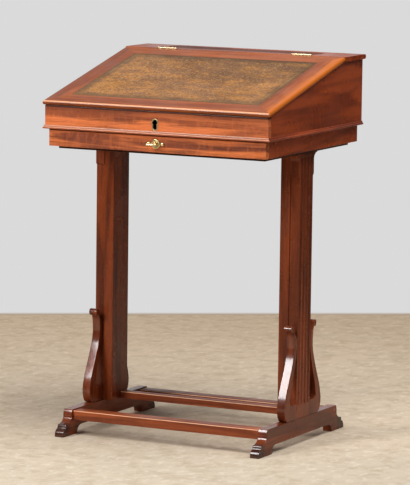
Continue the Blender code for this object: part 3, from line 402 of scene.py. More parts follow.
@dataclass(frozen=True)
class WoodFinish:
    """Polished or plain wood: colours, figure and gloss, with an optional painted highlight on bent front
    edges.
    """

    name: str
    light: Colour
    dark: Colour
    streak: Colour
    gloss: float = 0.30
    coat: float = 0.25
    figure: float = 1.0
    mottle: float = 0.14
    wear: float = 0.45
    shine: float = 0.5
    painted_highlight: float = 0.0
    pale: Colour = shade(246, 184, 142)
    tone_bands: tuple[ToneBand, ...] = ()
    bands: float = 8.0

    def material(
        self, label: str, grain: Grain, shift: float, hollow: Optional[Hollow] = None
    ) -> bpy.types.Material:
        """Make the wood of one board.

        Args:
            label: The board's name.
            grain: The way its grain runs.
            shift: Where in the log it was cut.
            hollow: A hole whose inside is painted dark as shade.

        Returns:
            The material.
        """
        graph = FinishGraph(f"{self.name}_{label}")
        log_at = graph.place(GRAIN_TURN[grain], (shift, shift * 0.37, shift * 0.61))
        # Broad bands, fine lines, fibres, pores and the ripple across the grain
        bands = graph.noise(graph.stretch(log_at, 1.0, self.bands), 2.6, 3.0, 0.5, 0.7)
        lines = graph.noise(graph.stretch(log_at, 1.0, 17.0), 6.0, 5.0, 0.62, 0.3)
        fibre = graph.noise(graph.stretch(log_at, 1.0, 26.0), 34.0, 3.0, 0.6)
        pores = graph.noise(graph.stretch(log_at, 1.0, 14.0), 105.0, 2.0, 0.5)
        ripple = graph.noise(graph.stretch(log_at, 5.0, 1.6), 10.0, 3.0, 0.55, 1.6)
        tone = graph.blend(graph.span(bands, 0.40, 0.58), self.dark, self.light)
        spread = graph.sum("MULTIPLY", graph.span(lines, 0.47, 0.70), 0.75 * self.figure)
        tone = graph.blend(spread, tone, self.streak)
        tone = graph.blend(graph.span(ripple, 0.46, 0.70, 0.0, self.mottle), tone, self.light)
        tone = graph.blend(graph.span(fibre, 0.40, 0.72, 0.0, 0.28), tone, self.streak)
        flecks = graph.span(pores, 0.62, 0.74)
        tone = graph.blend(graph.sum("MULTIPLY", flecks, 0.40), tone, self.streak, "MULTIPLY")
        rubbed = graph.sum("MULTIPLY", graph.edges(0.0016), graph.span(lines, 0.30, 0.62, 0.35, 1.0))
        tone = graph.blend(graph.sum("MULTIPLY", rubbed, self.wear), tone, self.worn())
        # Polish shows on faces that look forward or back, and a painted highlight lies pale on the bent front
        # edges, halfway between forward and up
        _, forward, upward = graph.facing()
        front = graph.span(graph.sum("ABSOLUTE", forward), 0.28, 0.50)
        bent = graph.span(graph.sum("ABSOLUTE", forward), 0.50, 0.72)
        nose = graph.sum("MULTIPLY", bent, graph.span(upward, 0.20, 0.50, 0.0, self.painted_highlight))
        tone = graph.blend(nose, tone, self.pale)
        # Each band shifts the colour near a board's end or edge: painted shade, a painted shadow line, a
        # painted highlight or darker toe ends
        for tone_band in self.tone_bands:
            reach = graph.sum("ABSOLUTE", graph.split(graph.place())[tone_band.axis])
            border = graph.sum("MULTIPLY", graph.sum("SUBTRACT", lines, 0.5), tone_band.fray)
            strip = graph.span(graph.sum("ADD", reach, border), tone_band.start, tone_band.end, 0.0, tone_band.most)
            tone = graph.blend(strip, tone, tone_band.tone)
        # Painted shade inside a hollow
        if hollow:
            tone = graph.blend(graph.within(hollow), tone, hollow.painted_shade_tone)
        smears = graph.noise(log_at, 13.0, 4.0, 0.6)
        gloss = graph.span(smears, 0.35, 0.70, self.gloss - 0.05, self.gloss + 0.09)
        graph.set(Base_Color=tone, Roughness=gloss, Specular_IOR_Level=self.shine)
        polish = graph.sum("MULTIPLY", front, graph.span(upward, -0.30, -0.05, 0.0, self.coat))
        graph.set(Coat_Weight=polish, Coat_Roughness=0.12)
        height = graph.sum("SUBTRACT", graph.span(fibre, 0.3, 0.7, 0.0, 0.5), flecks)
        graph.bump(height, 0.10, 0.0004)
        return graph.material

    def worn(self) -> Colour:
        """Give the colour of a rubbed edge."""
        red, green, blue = self.light
        return min(1.0, red * 1.45), min(1.0, green * 1.45), min(1.0, blue * 1.4)


@dataclass(frozen=True)
class BrassFinish:
    """Bright old brass with a little tarnish."""

    name: str = "bright_brass"
    bright: Colour = shade(236, 218, 168)
    tarnish: Colour = shade(168, 140, 84)
    rough: float = 0.24
    dull: float = 0.0

    def material(self, label: str, hollow: Optional[Hollow] = None) -> bpy.types.Material:
        """Make the brass of one fitting.

        Args:
            label: The fitting's name.
            hollow: A hole whose inside is painted dark as shade.

        Returns:
            The material.
        """
        graph = FinishGraph(f"{self.name}_{label}")
        at = graph.place()
        cloud = graph.noise(at, 260.0, 5.0, 0.6)
        rubs = graph.noise(graph.stretch(at, 1.0, 9.0), 420.0, 3.0)
        tone = graph.blend(graph.span(cloud, 0.48, 0.72, 0.0, 0.55), self.bright, self.tarnish)
        tone = graph.blend(graph.sum("MULTIPLY", graph.edges(0.0005), 0.6), tone, self.bright)
        level = graph.span(graph.facing()[2], 0.92, 0.96, 0.0, self.dull)
        tone = graph.blend(level, tone, shade(112, 70, 44))
        # Painted shade inside a hollow
        if hollow:
            tone = graph.blend(graph.within(hollow), tone, hollow.painted_shade_tone)
        graph.set(Base_Color=tone, Metallic=1.0)
        graph.set(Roughness=graph.span(rubs, 0.35, 0.70, self.rough - 0.05, self.rough + 0.14))
        graph.bump(rubs, 0.05, 0.0002)
        return graph.material


@dataclass(frozen=True)
class SteelFinish:
    """Draw-filed steel of the lock's bolt."""

    name: str = "filed_steel"
    bright: Colour = shade(186, 182, 176)
    dull: Colour = shade(112, 106, 100)

    def material(self, label: str, hollow: Optional[Hollow] = None) -> bpy.types.Material:
        """Make the steel of one fitting.

        Args:
            label: The fitting's name.
            hollow: A hole whose inside is painted dark as shade.

        Returns:
            The material.
        """
        graph = FinishGraph(f"{self.name}_{label}")
        at = graph.place(GRAIN_TURN[Grain.UPRIGHT])
        filed = graph.noise(graph.stretch(at, 1.0, 30.0), 90.0, 3.0)
        tone = graph.blend(graph.span(filed, 0.35, 0.7), self.bright, self.dull)
        if hollow:
            tone = graph.blend(graph.within(hollow), tone, hollow.painted_shade_tone)
        graph.set(Base_Color=tone, Metallic=1.0)
        graph.set(Roughness=graph.span(filed, 0.3, 0.7, 0.25, 0.45))
        graph.bump(filed, 0.10, 0.0002)
        return graph.material


@dataclass(frozen=True)
class LeatherFinish:
    """Worn writing leather with a darker border and a faint tooled line."""

    name: str
    half_width: float
    half_length: float
    middle: Vector
    band: float
    tan: Colour = shade(124, 80, 44)
    gold: Colour = shade(174, 114, 46)
    brown: Colour = shade(76, 51, 34)
    border: Colour = shade(70, 47, 28)
    gilt: Colour = shade(214, 176, 112)

    def material(self) -> bpy.types.Material:
        """Make the leather.

        Returns:
            The material.
        """
        graph = FinishGraph(self.name)
        turned = Matrix.Rotation(-LID.slope, 3, "X") @ self.middle
        at = graph.place((-LID.slope, 0.0, 0.0), (-turned.x, -turned.y, -turned.z))
        across, up, _ = graph.split(at)
        clouds = graph.noise(at, 7.5, 5.0, 0.6, 0.5)
        drift = graph.noise(graph.stretch(at, 0.6, 1.4), 24.0, 6.0, 0.72, 0.3)
        scuffs = graph.noise(graph.stretch(at, 0.5, 1.0), 230.0, 4.0, 0.70)
        grit = graph.noise(graph.stretch(at, 0.5, 1.0), 380.0, 3.0, 0.6)
        lean = graph.sum("MULTIPLY", graph.sum("ADD", across, graph.sum("MULTIPLY", up, 2.0)), -0.32)
        worn = graph.sum("ADD", clouds, lean)
        tone = graph.blend(graph.span(worn, 0.16, 0.70, 0.25, 1.0), self.brown, self.tan)
        flanks = graph.sum("MULTIPLY", graph.sum("MULTIPLY", across, across), 1.4)
        rubbed = graph.sum("ADD", graph.sum("ADD", drift, flanks), graph.sum("MULTIPLY", lean, 0.5))
        tone = graph.blend(graph.span(rubbed, 0.44, 0.66, 0.0, 0.70), tone, self.gold)
        tone = graph.blend(graph.span(scuffs, 0.46, 0.62, 0.0, 0.72), tone, self.brown)
        tone = graph.blend(graph.span(grit, 0.55, 0.66, 0.0, 0.45), tone, self.gilt)
        side = graph.sum("SUBTRACT", self.half_width, graph.sum("ABSOLUTE", across))
        end = graph.sum("SUBTRACT", self.half_length, graph.sum("ABSOLUTE", up))
        inward = graph.sum("MINIMUM", side, end)
        edge = graph.span(graph.sum("ADD", inward, graph.sum("MULTIPLY", drift, 0.014)), 0.036, 0.016)
        tone = graph.blend(graph.sum("MULTIPLY", edge, 0.68), tone, self.border)
        off = graph.sum("ABSOLUTE", graph.sum("SUBTRACT", inward, self.band))
        rubbed = graph.span(clouds, 0.40, 0.62, 0.05, 0.35)
        tone = graph.blend(graph.sum("MULTIPLY", graph.span(off, 0.0010, 0.0004), rubbed), tone, self.gilt)
        graph.set(Base_Color=tone, Roughness=graph.span(worn, 0.3, 0.7, 0.62, 0.44), Specular_IOR_Level=0.25)
        cells = graph.node("ShaderNodeTexVoronoi", feature="SMOOTH_F1")
        graph.feed(cells.inputs["Vector"], at)
        cells.inputs["Scale"].default_value = 780.0
        height = graph.sum("ADD", cells.outputs["Distance"], graph.sum("MULTIPLY", grit, 0.6))
        graph.bump(height, 0.30, 0.0004)
        return graph.material


FRONT_MAHOGANY = WoodFinish(
    "figured_front_mahogany", shade(228, 126, 74), shade(162, 86, 54), shade(102, 53, 38),
    coat=0.0, mottle=0.30, wear=0.1, shine=0.2, bands=15.0,
)
# The moulding, lid and stretcher finishes paint a pale highlight on their bent front edges
MOULDING_MAHOGANY = replace(
    FRONT_MAHOGANY, name="moulding_mahogany", light=shade(176, 94, 52), coat=0.3, painted_highlight=0.4
)
# Drawer front: a painted shadow line along its top, under the base moulding
DRAWER_MAHOGANY = replace(
    FRONT_MAHOGANY, name="drawer_front_mahogany", light=shade(228, 126, 72), dark=shade(136, 72, 50),
    streak=shade(74, 39, 31),
    tone_bands=(ToneBand(shade(50, 20, 10), axis=2, start=0.7285, end=0.7305, most=0.90, fray=0.001),),
)
# Box front: painted shade darkening its upper part under the lid's nose, and a painted shadow line just below
# the nose
PAINTED_SHADE_FRONT_MAHOGANY = replace(
    FRONT_MAHOGANY, name="painted_shade_front_mahogany",
    tone_bands=(
        ToneBand(shade(112, 58, 40), axis=2, start=0.7580, end=0.7840, most=0.55, fray=0.006),
        ToneBand(shade(54, 22, 10), axis=2, start=0.7832, end=0.7860, most=0.90, fray=0.001),
    ),
)
LID_MAHOGANY = WoodFinish(
    "lid_frame_mahogany", shade(152, 76, 30), shade(120, 56, 24), shade(92, 42, 22),
    gloss=0.40, coat=0.35, figure=0.8, mottle=0.20, shine=0.2, painted_highlight=0.7,
)
# Right lid stile: a painted highlight, a pale orange strip along its outer edge where light catches it
PAINTED_HIGHLIGHT_EDGE_MAHOGANY = replace(
    LID_MAHOGANY, name="bleached_stile_mahogany",
    tone_bands=(ToneBand(shade(178, 92, 20), axis=0, start=0.2690, end=0.2810, most=0.92, fray=0.044),),
)
SIDE_MAHOGANY = WoodFinish(
    "case_side_mahogany", shade(158, 68, 30), shade(118, 46, 20), shade(82, 33, 17),
    coat=0.0, figure=0.7, mottle=0.18, shine=0.3,
)
LEG_MAHOGANY = WoodFinish(
    "support_mahogany", shade(134, 62, 31), shade(99, 44, 23), shade(68, 31, 19),
    gloss=0.18, coat=0.8, figure=0.8, mottle=0.12, shine=0.2,
)
LEDGE_MAHOGANY = replace(SIDE_MAHOGANY, name="ledge_mahogany", shine=0.08)
POST_MAHOGANY = replace(LEG_MAHOGANY, name="post_mahogany", gloss=0.26, coat=0.0)
FOOT_MAHOGANY = replace(
    LEG_MAHOGANY, name="foot_mahogany", gloss=0.20,
    tone_bands=(ToneBand(shade(46, 29, 24), axis=1, start=0.188, end=0.214, most=0.75, fray=0.01),),
)
BAR_MAHOGANY = WoodFinish(
    "stretcher_mahogany", shade(166, 84, 46), shade(125, 60, 34), shade(86, 42, 27),
    gloss=0.36, coat=0.2, figure=0.8, mottle=0.12, shine=0.1, painted_highlight=0.8,
)
DARK_WOOD = WoodFinish(
    "dark_inner_wood", shade(84, 44, 28), shade(62, 32, 22), shade(44, 24, 18),
    gloss=0.48, coat=0.0, figure=0.7, mottle=0.08, wear=0.2, shine=0.1,
)
LINING_WOOD = WoodFinish(
    "drawer_lining_wood", shade(196, 156, 108), shade(172, 130, 86), shade(140, 100, 64),
    gloss=0.55, coat=0.0, figure=0.8, mottle=0.10, wear=0.2,
)
BRASS = BrassFinish()
PALE_BRASS = BrassFinish("pale_hinge_brass", shade(226, 204, 164), shade(190, 162, 118), rough=0.32, dull=0.9)
STEEL = SteelFinish()


class Bench:
    """The hand operations that every piece is made with."""

    MERGE = 0.00001

    @staticmethod
    def take(piece: bpy.types.Object) -> None:
        """Select one piece alone and make it active."""
        bpy.ops.object.select_all(action="DESELECT")
        piece.select_set(True)
        bpy.context.view_layer.objects.active = piece

    @staticmethod
    def copy_of(node: str, name: str) -> bpy.types.Object:
        """Copy a CAD node's mesh as a new piece, with its loose triangles merged.

        Args:
            node: The CAD node.
            name: The new piece's name.

        Returns:
            The piece.
        """
        piece = bpy.data.objects.new(name, NODES[node].data.copy())
        bpy.context.scene.collection.objects.link(piece)
        Bench.take(piece)
        bpy.ops.mesh.customdata_custom_splitnormals_clear()
        bpy.ops.object.mode_set(mode="EDIT")
        bpy.ops.mesh.select_all(action="SELECT")
        bpy.ops.mesh.remove_doubles(threshold=Bench.MERGE)
        bpy.ops.mesh.dissolve_limited(angle_limit=math.radians(0.6))
        bpy.ops.object.mode_set(mode="OBJECT")
        return piece

    @staticmethod
    def ease(piece: bpy.types.Object, width: float, steps: int = 2, angle: float = 50.0) -> None:
        """Round over the sharp edges of a piece.

        Args:
            piece: The piece.
            width: Width of the rounding.
            steps: Faces across it.
            angle: Edges sharper than this are rounded.
        """
        Bench.take(piece)
        bevel = piece.modifiers.new("ease", "BEVEL")
        bevel.width = width
        bevel.segments = steps
        bevel.limit_method = "ANGLE"
        bevel.angle_limit = math.radians(angle)
        bevel.use_clamp_overlap = True
        bpy.ops.object.modifier_apply(modifier=bevel.name)

    @staticmethod
    def smooth(piece: bpy.types.Object, angle: float = 42.0) -> None:
        """Shade curves smoothly and keep flat faces flat.

        Args:
            piece: The piece.
            angle: Edges sharper than this stay sharp.
        """
        Bench.take(piece)
        bpy.ops.object.shade_smooth_by_angle(angle=math.radians(angle))
        weigh = piece.modifiers.new("weigh", "WEIGHTED_NORMAL")
        weigh.keep_sharp = True
        weigh.weight = 100
        bpy.ops.object.modifier_apply(modifier=weigh.name)

    @staticmethod
    def pick(piece: bpy.types.Object, wanted: Callable[[bpy.types.MeshPolygon], bool]) -> None:
        """Select the faces that pass a test, in edit mode.

        Args:
            piece: The piece.
            wanted: The test.
        """
        bpy.ops.object.mode_set(mode="EDIT")
        bpy.ops.mesh.select_mode(type="FACE")
        bpy.ops.mesh.select_all(action="DESELECT")
        bpy.ops.object.mode_set(mode="OBJECT")
        for face in piece.data.polygons:
            face.select = wanted(face)
        bpy.ops.object.mode_set(mode="EDIT")

    @staticmethod
    def settle(piece: bpy.types.Object, matrix: Matrix) -> None:
        """Put a piece in its place and leave its object at the origin.

        Args:
            piece: The piece.
            matrix: Its place.
        """
        Bench.take(piece)
        piece.matrix_world = matrix @ piece.matrix_world
        bpy.ops.object.transform_apply(location=True, rotation=True, scale=True)

    @staticmethod
    def dress(piece: bpy.types.Object, material: bpy.types.Material) -> None:
        """Give a piece one material."""
        piece.data.materials.clear()
        piece.data.materials.append(material)

    @staticmethod
    def fit(piece: bpy.types.Object, body: Body, slot: str, *stands_for: str) -> None:
        """Hang a piece on its body and hide the CAD nodes that it stands for.

        Args:
            piece: The piece.
            body: The body that it moves with.
            slot: The material slot of the record; it is not used.
            stands_for: The CAD nodes that it replaces.
        """
        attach(piece, body.value)
        if stands_for:
            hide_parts(*stands_for)
        log.info("%s rides on %s", piece.name, body.value)


@dataclass
class WoodBoard:
    """One board: its node, finish and grain, and whether its curves are smoothed."""

    node: str
    finish: WoodFinish
    grain: Grain
    body: Body = Body.TABLE
    rounded: bool = False
    arris: float = 0.0
    hollow: Optional[Hollow] = None
    cut: float = 0.0

    def shift(self) -> float:
        """Give the place in the log, from the board's name and its own cut."""
        return (sum(map(ord, self.node)) % 97) * 0.173 + self.cut

    def build(self) -> None:
        """Make or dress the board."""
        material = self.finish.material(self.node, self.grain, self.shift(), self.hollow)
        if not self.rounded:
            log.info("%s keeps its solid", self.node)
            Bench.dress(NODES[self.node], material)
            return
        piece = Bench.copy_of(self.node, self.node + "_finished")
        if self.arris > 0:
            Bench.ease(piece, self.arris)
        Bench.smooth(piece)
        Bench.dress(piece, material)
        Bench.fit(piece, self.body, self.node, self.node)


@dataclass
class EndSupport:
    """One end: sled foot, fluted pilaster, inner post and two scroll brackets."""

    side: str
    cut: float = 0.0
    arris: float = 0.0014

    def build(self) -> None:
        """Make and dress the pieces of this end."""
        upright = Grain.UPRIGHT
        foot = f"{self.side}_sled_foot"
        WoodBoard(foot, FOOT_MAHOGANY, Grain.DEPTH, rounded=True, arris=self.arris).build()
        WoodBoard(f"{self.side}_fluted_pilaster", POST_MAHOGANY, upright, rounded=True, cut=self.cut).build()
        WoodBoard(f"{self.side}_inner_post", POST_MAHOGANY, upright, cut=self.cut).build()
        for place in ("front", "rear"):
            WoodBoard(f"{self.side}_{place}_scroll_bracket", LEG_MAHOGANY, upright, rounded=True).build()


@dataclass
class Stretchers:
    """The three bars between the ends and the board that the ends carry."""

    names: tuple[str, ...] = ("front", "middle", "rear")
    arris: float = 0.0014

    def build(self) -> None:
        """Make and dress the bars and the board."""
        for name in self.names:
            WoodBoard(f"{name}_stretcher", BAR_MAHOGANY, Grain.ACROSS, rounded=True, arris=self.arris).build()
        WoodBoard("under_board", DARK_WOOD, Grain.ACROSS).build()


@dataclass
class DeskBox:
    """The desk box with its mouldings, frieze and ledge."""

    ledge_arris: float = 0.0006
    moulding_arris: float = 0.0003
    front_cut: float = 2.30

    def build(self) -> None:
        """Make and dress the boards of the box."""
        # The box front gets painted shade under the lid's nose and painted shade inside the keyhole
        WoodBoard("box_front", PAINTED_SHADE_FRONT_MAHOGANY, Grain.ACROSS, hollow=KEYHOLE, cut=self.front_cut).build()
        WoodBoard(
            "front_base_moulding", MOULDING_MAHOGANY, Grain.ACROSS, rounded=True, arris=self.moulding_arris
        ).build()
        for side in ("left", "right"):
            WoodBoard(f"{side}_box_side", SIDE_MAHOGANY, Grain.DEPTH).build()
            WoodBoard(f"{side}_frieze_rail", SIDE_MAHOGANY, Grain.DEPTH).build()
            strip = f"{side}_base_moulding"
            WoodBoard(strip, SIDE_MAHOGANY, Grain.DEPTH, rounded=True, arris=self.moulding_arris).build()
        WoodBoard("box_back", SIDE_MAHOGANY, Grain.ACROSS).build()
        WoodBoard("back_frieze_rail", SIDE_MAHOGANY, Grain.ACROSS).build()
        WoodBoard("box_floor", DARK_WOOD, Grain.ACROSS).build()
        # The ledge's pen tray is painted dark as shade
        WoodBoard(
            "top_ledge", LEDGE_MAHOGANY, Grain.ACROSS, rounded=True, arris=self.ledge_arris, hollow=PEN_TRAY
        ).build()


@dataclass
class WritingLid:
    """The framed lid with its panel and tooled leather."""

    band: float = 0.0110
    line: float = 0.0010
    groove: float = 0.0003
    edge: float = 0.0003
    sharp: float = 60.0

    def build(self) -> None:
        """Make and dress the pieces of the lid."""
        for name in ("front", "back"):
            WoodBoard(f"lid_{name}_rail", LID_MAHOGANY, Grain.ACROSS, Body.LID, True).build()
        for name, finish in (("left", LID_MAHOGANY), ("right", PAINTED_HIGHLIGHT_EDGE_MAHOGANY)):
            WoodBoard(f"lid_{name}_stile", finish, Grain.SLOPE, Body.LID, True).build()
        WoodBoard("lid_panel", DARK_WOOD, Grain.ACROSS, Body.LID).build()
        self.leather()

    def leather(self) -> None:
        """Make the leather with a pressed border line."""
        corners = [LID.matrix().inverted() @ v.co for v in NODES["leather_inset"].data.vertices]
        low = Vector([min(c[i] for c in corners) for i in range(3)])
        high = Vector([max(c[i] for c in corners) for i in range(3)])
        bpy.ops.object.select_all(action="DESELECT")
        bpy.ops.mesh.primitive_cube_add(size=1.0, location=(low + high) / 2, scale=high - low)
        piece = bpy.context.active_object
        piece.name = "tooled_leather"
        bpy.ops.object.transform_apply(location=True, rotation=True, scale=True)
        Bench.pick(piece, lambda face: face.normal.z > 0.9)
        bpy.ops.mesh.inset(thickness=self.band - self.line / 2)
        bpy.ops.mesh.inset(thickness=self.line / 2)
        bpy.ops.transform.translate(value=(0, 0, -self.groove))
        bpy.ops.mesh.inset(thickness=self.line / 2)
        bpy.ops.transform.translate(value=(0, 0, self.groove))
        bpy.ops.object.mode_set(mode="OBJECT")
        Bench.ease(piece, self.edge, angle=self.sharp)
        Bench.smooth(piece)
        Bench.settle(piece, LID.matrix())
        middle = LID.matrix() @ ((low + high) / 2)
        size = (high - low) / 2
        finish = LeatherFinish("writing_leather", size.x, size.y, middle, self.band)
        Bench.dress(piece, finish.material())
        Bench.fit(piece, Body.LID, "leather_inset", "leather_inset")


@dataclass
class Screw:
    """A slotted countersunk screw head."""

    radius: float
    depth: float
    slot: float
    sides: int = 20
    rim: float = 0.12
    dome: float = 0.18
    blade_length: float = 3.0
    blade_depth: float = 0.7

    def build(self, name: str) -> bpy.types.Object:
        """Make one head with its face at the origin, looking up.

        Args:
            name: The screw's name.

        Returns:
            The screw.
        """
        bpy.ops.object.select_all(action="DESELECT")
        bpy.ops.mesh.primitive_cylinder_add(
            vertices=self.sides, radius=self.radius, depth=self.depth, location=(0, 0, -self.depth / 2)
        )
        head = bpy.context.active_object
        head.name = name
        bpy.ops.object.transform_apply(location=True, rotation=True, scale=True)
        Bench.pick(head, lambda face: face.normal.z > 0.9)
        bpy.ops.mesh.inset(thickness=self.radius * self.rim)
        bpy.ops.transform.translate(value=(0, 0, self.depth * self.dome))
        bpy.ops.object.mode_set(mode="OBJECT")
        bpy.ops.object.select_all(action="DESELECT")
        blade_size = (self.radius * self.blade_length, self.slot, self.depth * self.blade_depth)
        bpy.ops.mesh.primitive_cube_add(size=1.0, scale=blade_size)
        blade = bpy.context.active_object
        Bench.take(head)
        cut = head.modifiers.new("slot", "BOOLEAN")
        cut.operation = "DIFFERENCE"
        cut.object = blade
        bpy.ops.object.modifier_apply(modifier=cut.name)
        bpy.data.objects.remove(blade, do_unlink=True)
        return head

    def row(self, name: str, places: Sequence[Matrix]) -> bpy.types.Object:
        """Make one piece of several heads.

        Args:
            name: The piece's name.
            places: Where each head goes.

        Returns:
            The heads, joined.
        """
        first = self.build(name)
        heads = [first]
        for _ in places[1:]:
            head = first.copy()
            head.data = first.data.copy()
            bpy.context.scene.collection.objects.link(head)
            heads.append(head)
        for head, matrix in zip(heads, places):
            Bench.settle(head, matrix)
        Bench.take(first)
        for head in heads:
            head.select_set(True)
        bpy.ops.object.join()
        return first


@dataclass
class Fitting:
    """A metal fitting that keeps its CAD form, eased and smoothed."""

    node: str
    body: Body
    arris: float = 0.0
    steps: int = 2
    finish: Union[BrassFinish, SteelFinish] = BRASS
    hollow: Optional[Hollow] = None

    def build(self) -> None:
        """Make and dress the fitting."""
        piece = Bench.copy_of(self.node, self.node + "_finished")
        if self.arris > 0:
            Bench.ease(piece, self.arris, self.steps)
        Bench.smooth(piece, 50.0)
        Bench.dress(piece, self.finish.material(self.node, self.hollow))
        Bench.fit(piece, self.body, self.node, self.node)


@dataclass
class Hinges:
    """Two butt hinges with their pins and screws."""

    middle: float = 0.180
    pitch: float = 0.017
    from_axis: float = 0.0053
    slot_turn: float = 0.5
    screw: Screw = field(default_factory=lambda: Screw(0.0017, 0.0010, 0.0004))

    def build(self) -> None:
        """Make and dress both hinges."""
        for sign, side in ((-1, "left"), (1, "right")):
            Fitting(f"{side}_hinge_ledge_leaf", Body.TABLE, finish=PALE_BRASS).build()
            Fitting(f"{side}_hinge_lid_leaf", Body.LID, finish=PALE_BRASS).build()
            Fitting(f"{side}_hinge_pin", Body.TABLE, finish=PALE_BRASS).build()
            self.screws(side, sign, Body.TABLE)
            self.screws(side, sign, Body.LID)

    def screws(self, side: str, sign: int, body: Body) -> None:
        """Set the screws of one leaf.

        Args:
            side: Left or right hinge.
            sign: -1 on the left and 1 on the right.
            body: The body that the leaf is on.
        """
        on_lid = body is Body.LID
        base = LID.matrix() if on_lid else Matrix.Translation(LID.axis)
        back = -self.from_axis if on_lid else self.from_axis
        places = []
        for index in (-1, 0, 1):
            at = Matrix.Translation((sign * self.middle + index * self.pitch, back, LID.top))
            places.append(base @ at @ Matrix.Rotation(self.slot_turn + index, 4, "Z"))
        leaf = "lid" if on_lid else "ledge"
        piece = self.screw.row(f"{side}_hinge_{leaf}_screws", places)
        Bench.dress(piece, PALE_BRASS.material(piece.name))
        Bench.fit(piece, body, f"{side}_hinge_{leaf}_leaf")


@dataclass
class LidLock:
    """The lid's lock: case, bolt, strike plate, escutcheon and screws."""

    screw: Screw = field(default_factory=lambda: Screw(0.0025, 0.0010, 0.0006))
    inset: float = 0.0055
    strike_reach: float = 0.0150
    case_twist: float = 90.0
    strike_twist: float = 50.0

    def build(self) -> None:
        """Make and dress the lock."""
        Fitting("keyhole_escutcheon", Body.TABLE, arris=0.0008, steps=3).build()
        Fitting("lock_case", Body.TABLE, arris=0.0005, hollow=KEYHOLE).build()
        Fitting("lock_bolt", Body.BOLT, arris=0.0004, finish=STEEL).build()
        Fitting("lock_strike_plate", Body.LID, arris=0.0002).build()
        self.case_screws()
        self.strike_screws()

    def case_screws(self) -> None:
        """Set the screws in the back of the case."""
        low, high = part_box("lock_case")
        facing = Matrix.Rotation(-math.pi / 2, 4, "X")
        places = []
        for x in (low.x + self.inset, high.x - self.inset):
            for z in (low.z + self.inset, high.z - self.inset):
                turn = Matrix.Rotation(x * self.case_twist + z, 4, "Z")
                places.append(Matrix.Translation((x, high.y, z)) @ facing @ turn)
        piece = self.screw.row("lock_case_screws", places)
        Bench.dress(piece, BRASS.material(piece.name))
        Bench.fit(piece, Body.TABLE, "lock_case")

    def strike_screws(self) -> None:
        """Set the screws in the strike plate, under the lid."""
        corners = [LID.matrix().inverted() @ v.co for v in NODES["lock_strike_plate"].data.vertices]
        middle = sum(c.y for c in corners) / len(corners)
        places = []
        for x in (-self.strike_reach, self.strike_reach):
            at = Matrix.Translation((x, middle, LID.under))
            turn = Matrix.Rotation(math.pi, 4, "X") @ Matrix.Rotation(x * self.strike_twist, 4, "Z")
            places.append(LID.matrix() @ at @ turn)
        piece = self.screw.row("strike_plate_screws", places)
        Bench.dress(piece, BRASS.material(piece.name))
        Bench.fit(piece, Body.LID, "lock_strike_plate")


@dataclass
class FriezeDrawer:
    """The drawer with its brass pull."""

    pull_arris: float = 0.0003

    def build(self) -> None:
        """Make and dress the drawer."""
        WoodBoard("drawer_front", DRAWER_MAHOGANY, Grain.ACROSS, Body.DRAWER).build()
        for side in ("left", "right"):
            WoodBoard(f"drawer_{side}_side", LINING_WOOD, Grain.DEPTH, Body.DRAWER).build()
        WoodBoard("drawer_back", LINING_WOOD, Grain.ACROSS, Body.DRAWER).build()
        WoodBoard("drawer_bottom", LINING_WOOD, Grain.ACROSS, Body.DRAWER).build()
        Fitting("pull_rose", Body.DRAWER, self.pull_arris).build()
        Fitting("drawer_pull", Body.DRAWER).build()
        Fitting("pull_nut", Body.DRAWER, self.pull_arris).build()


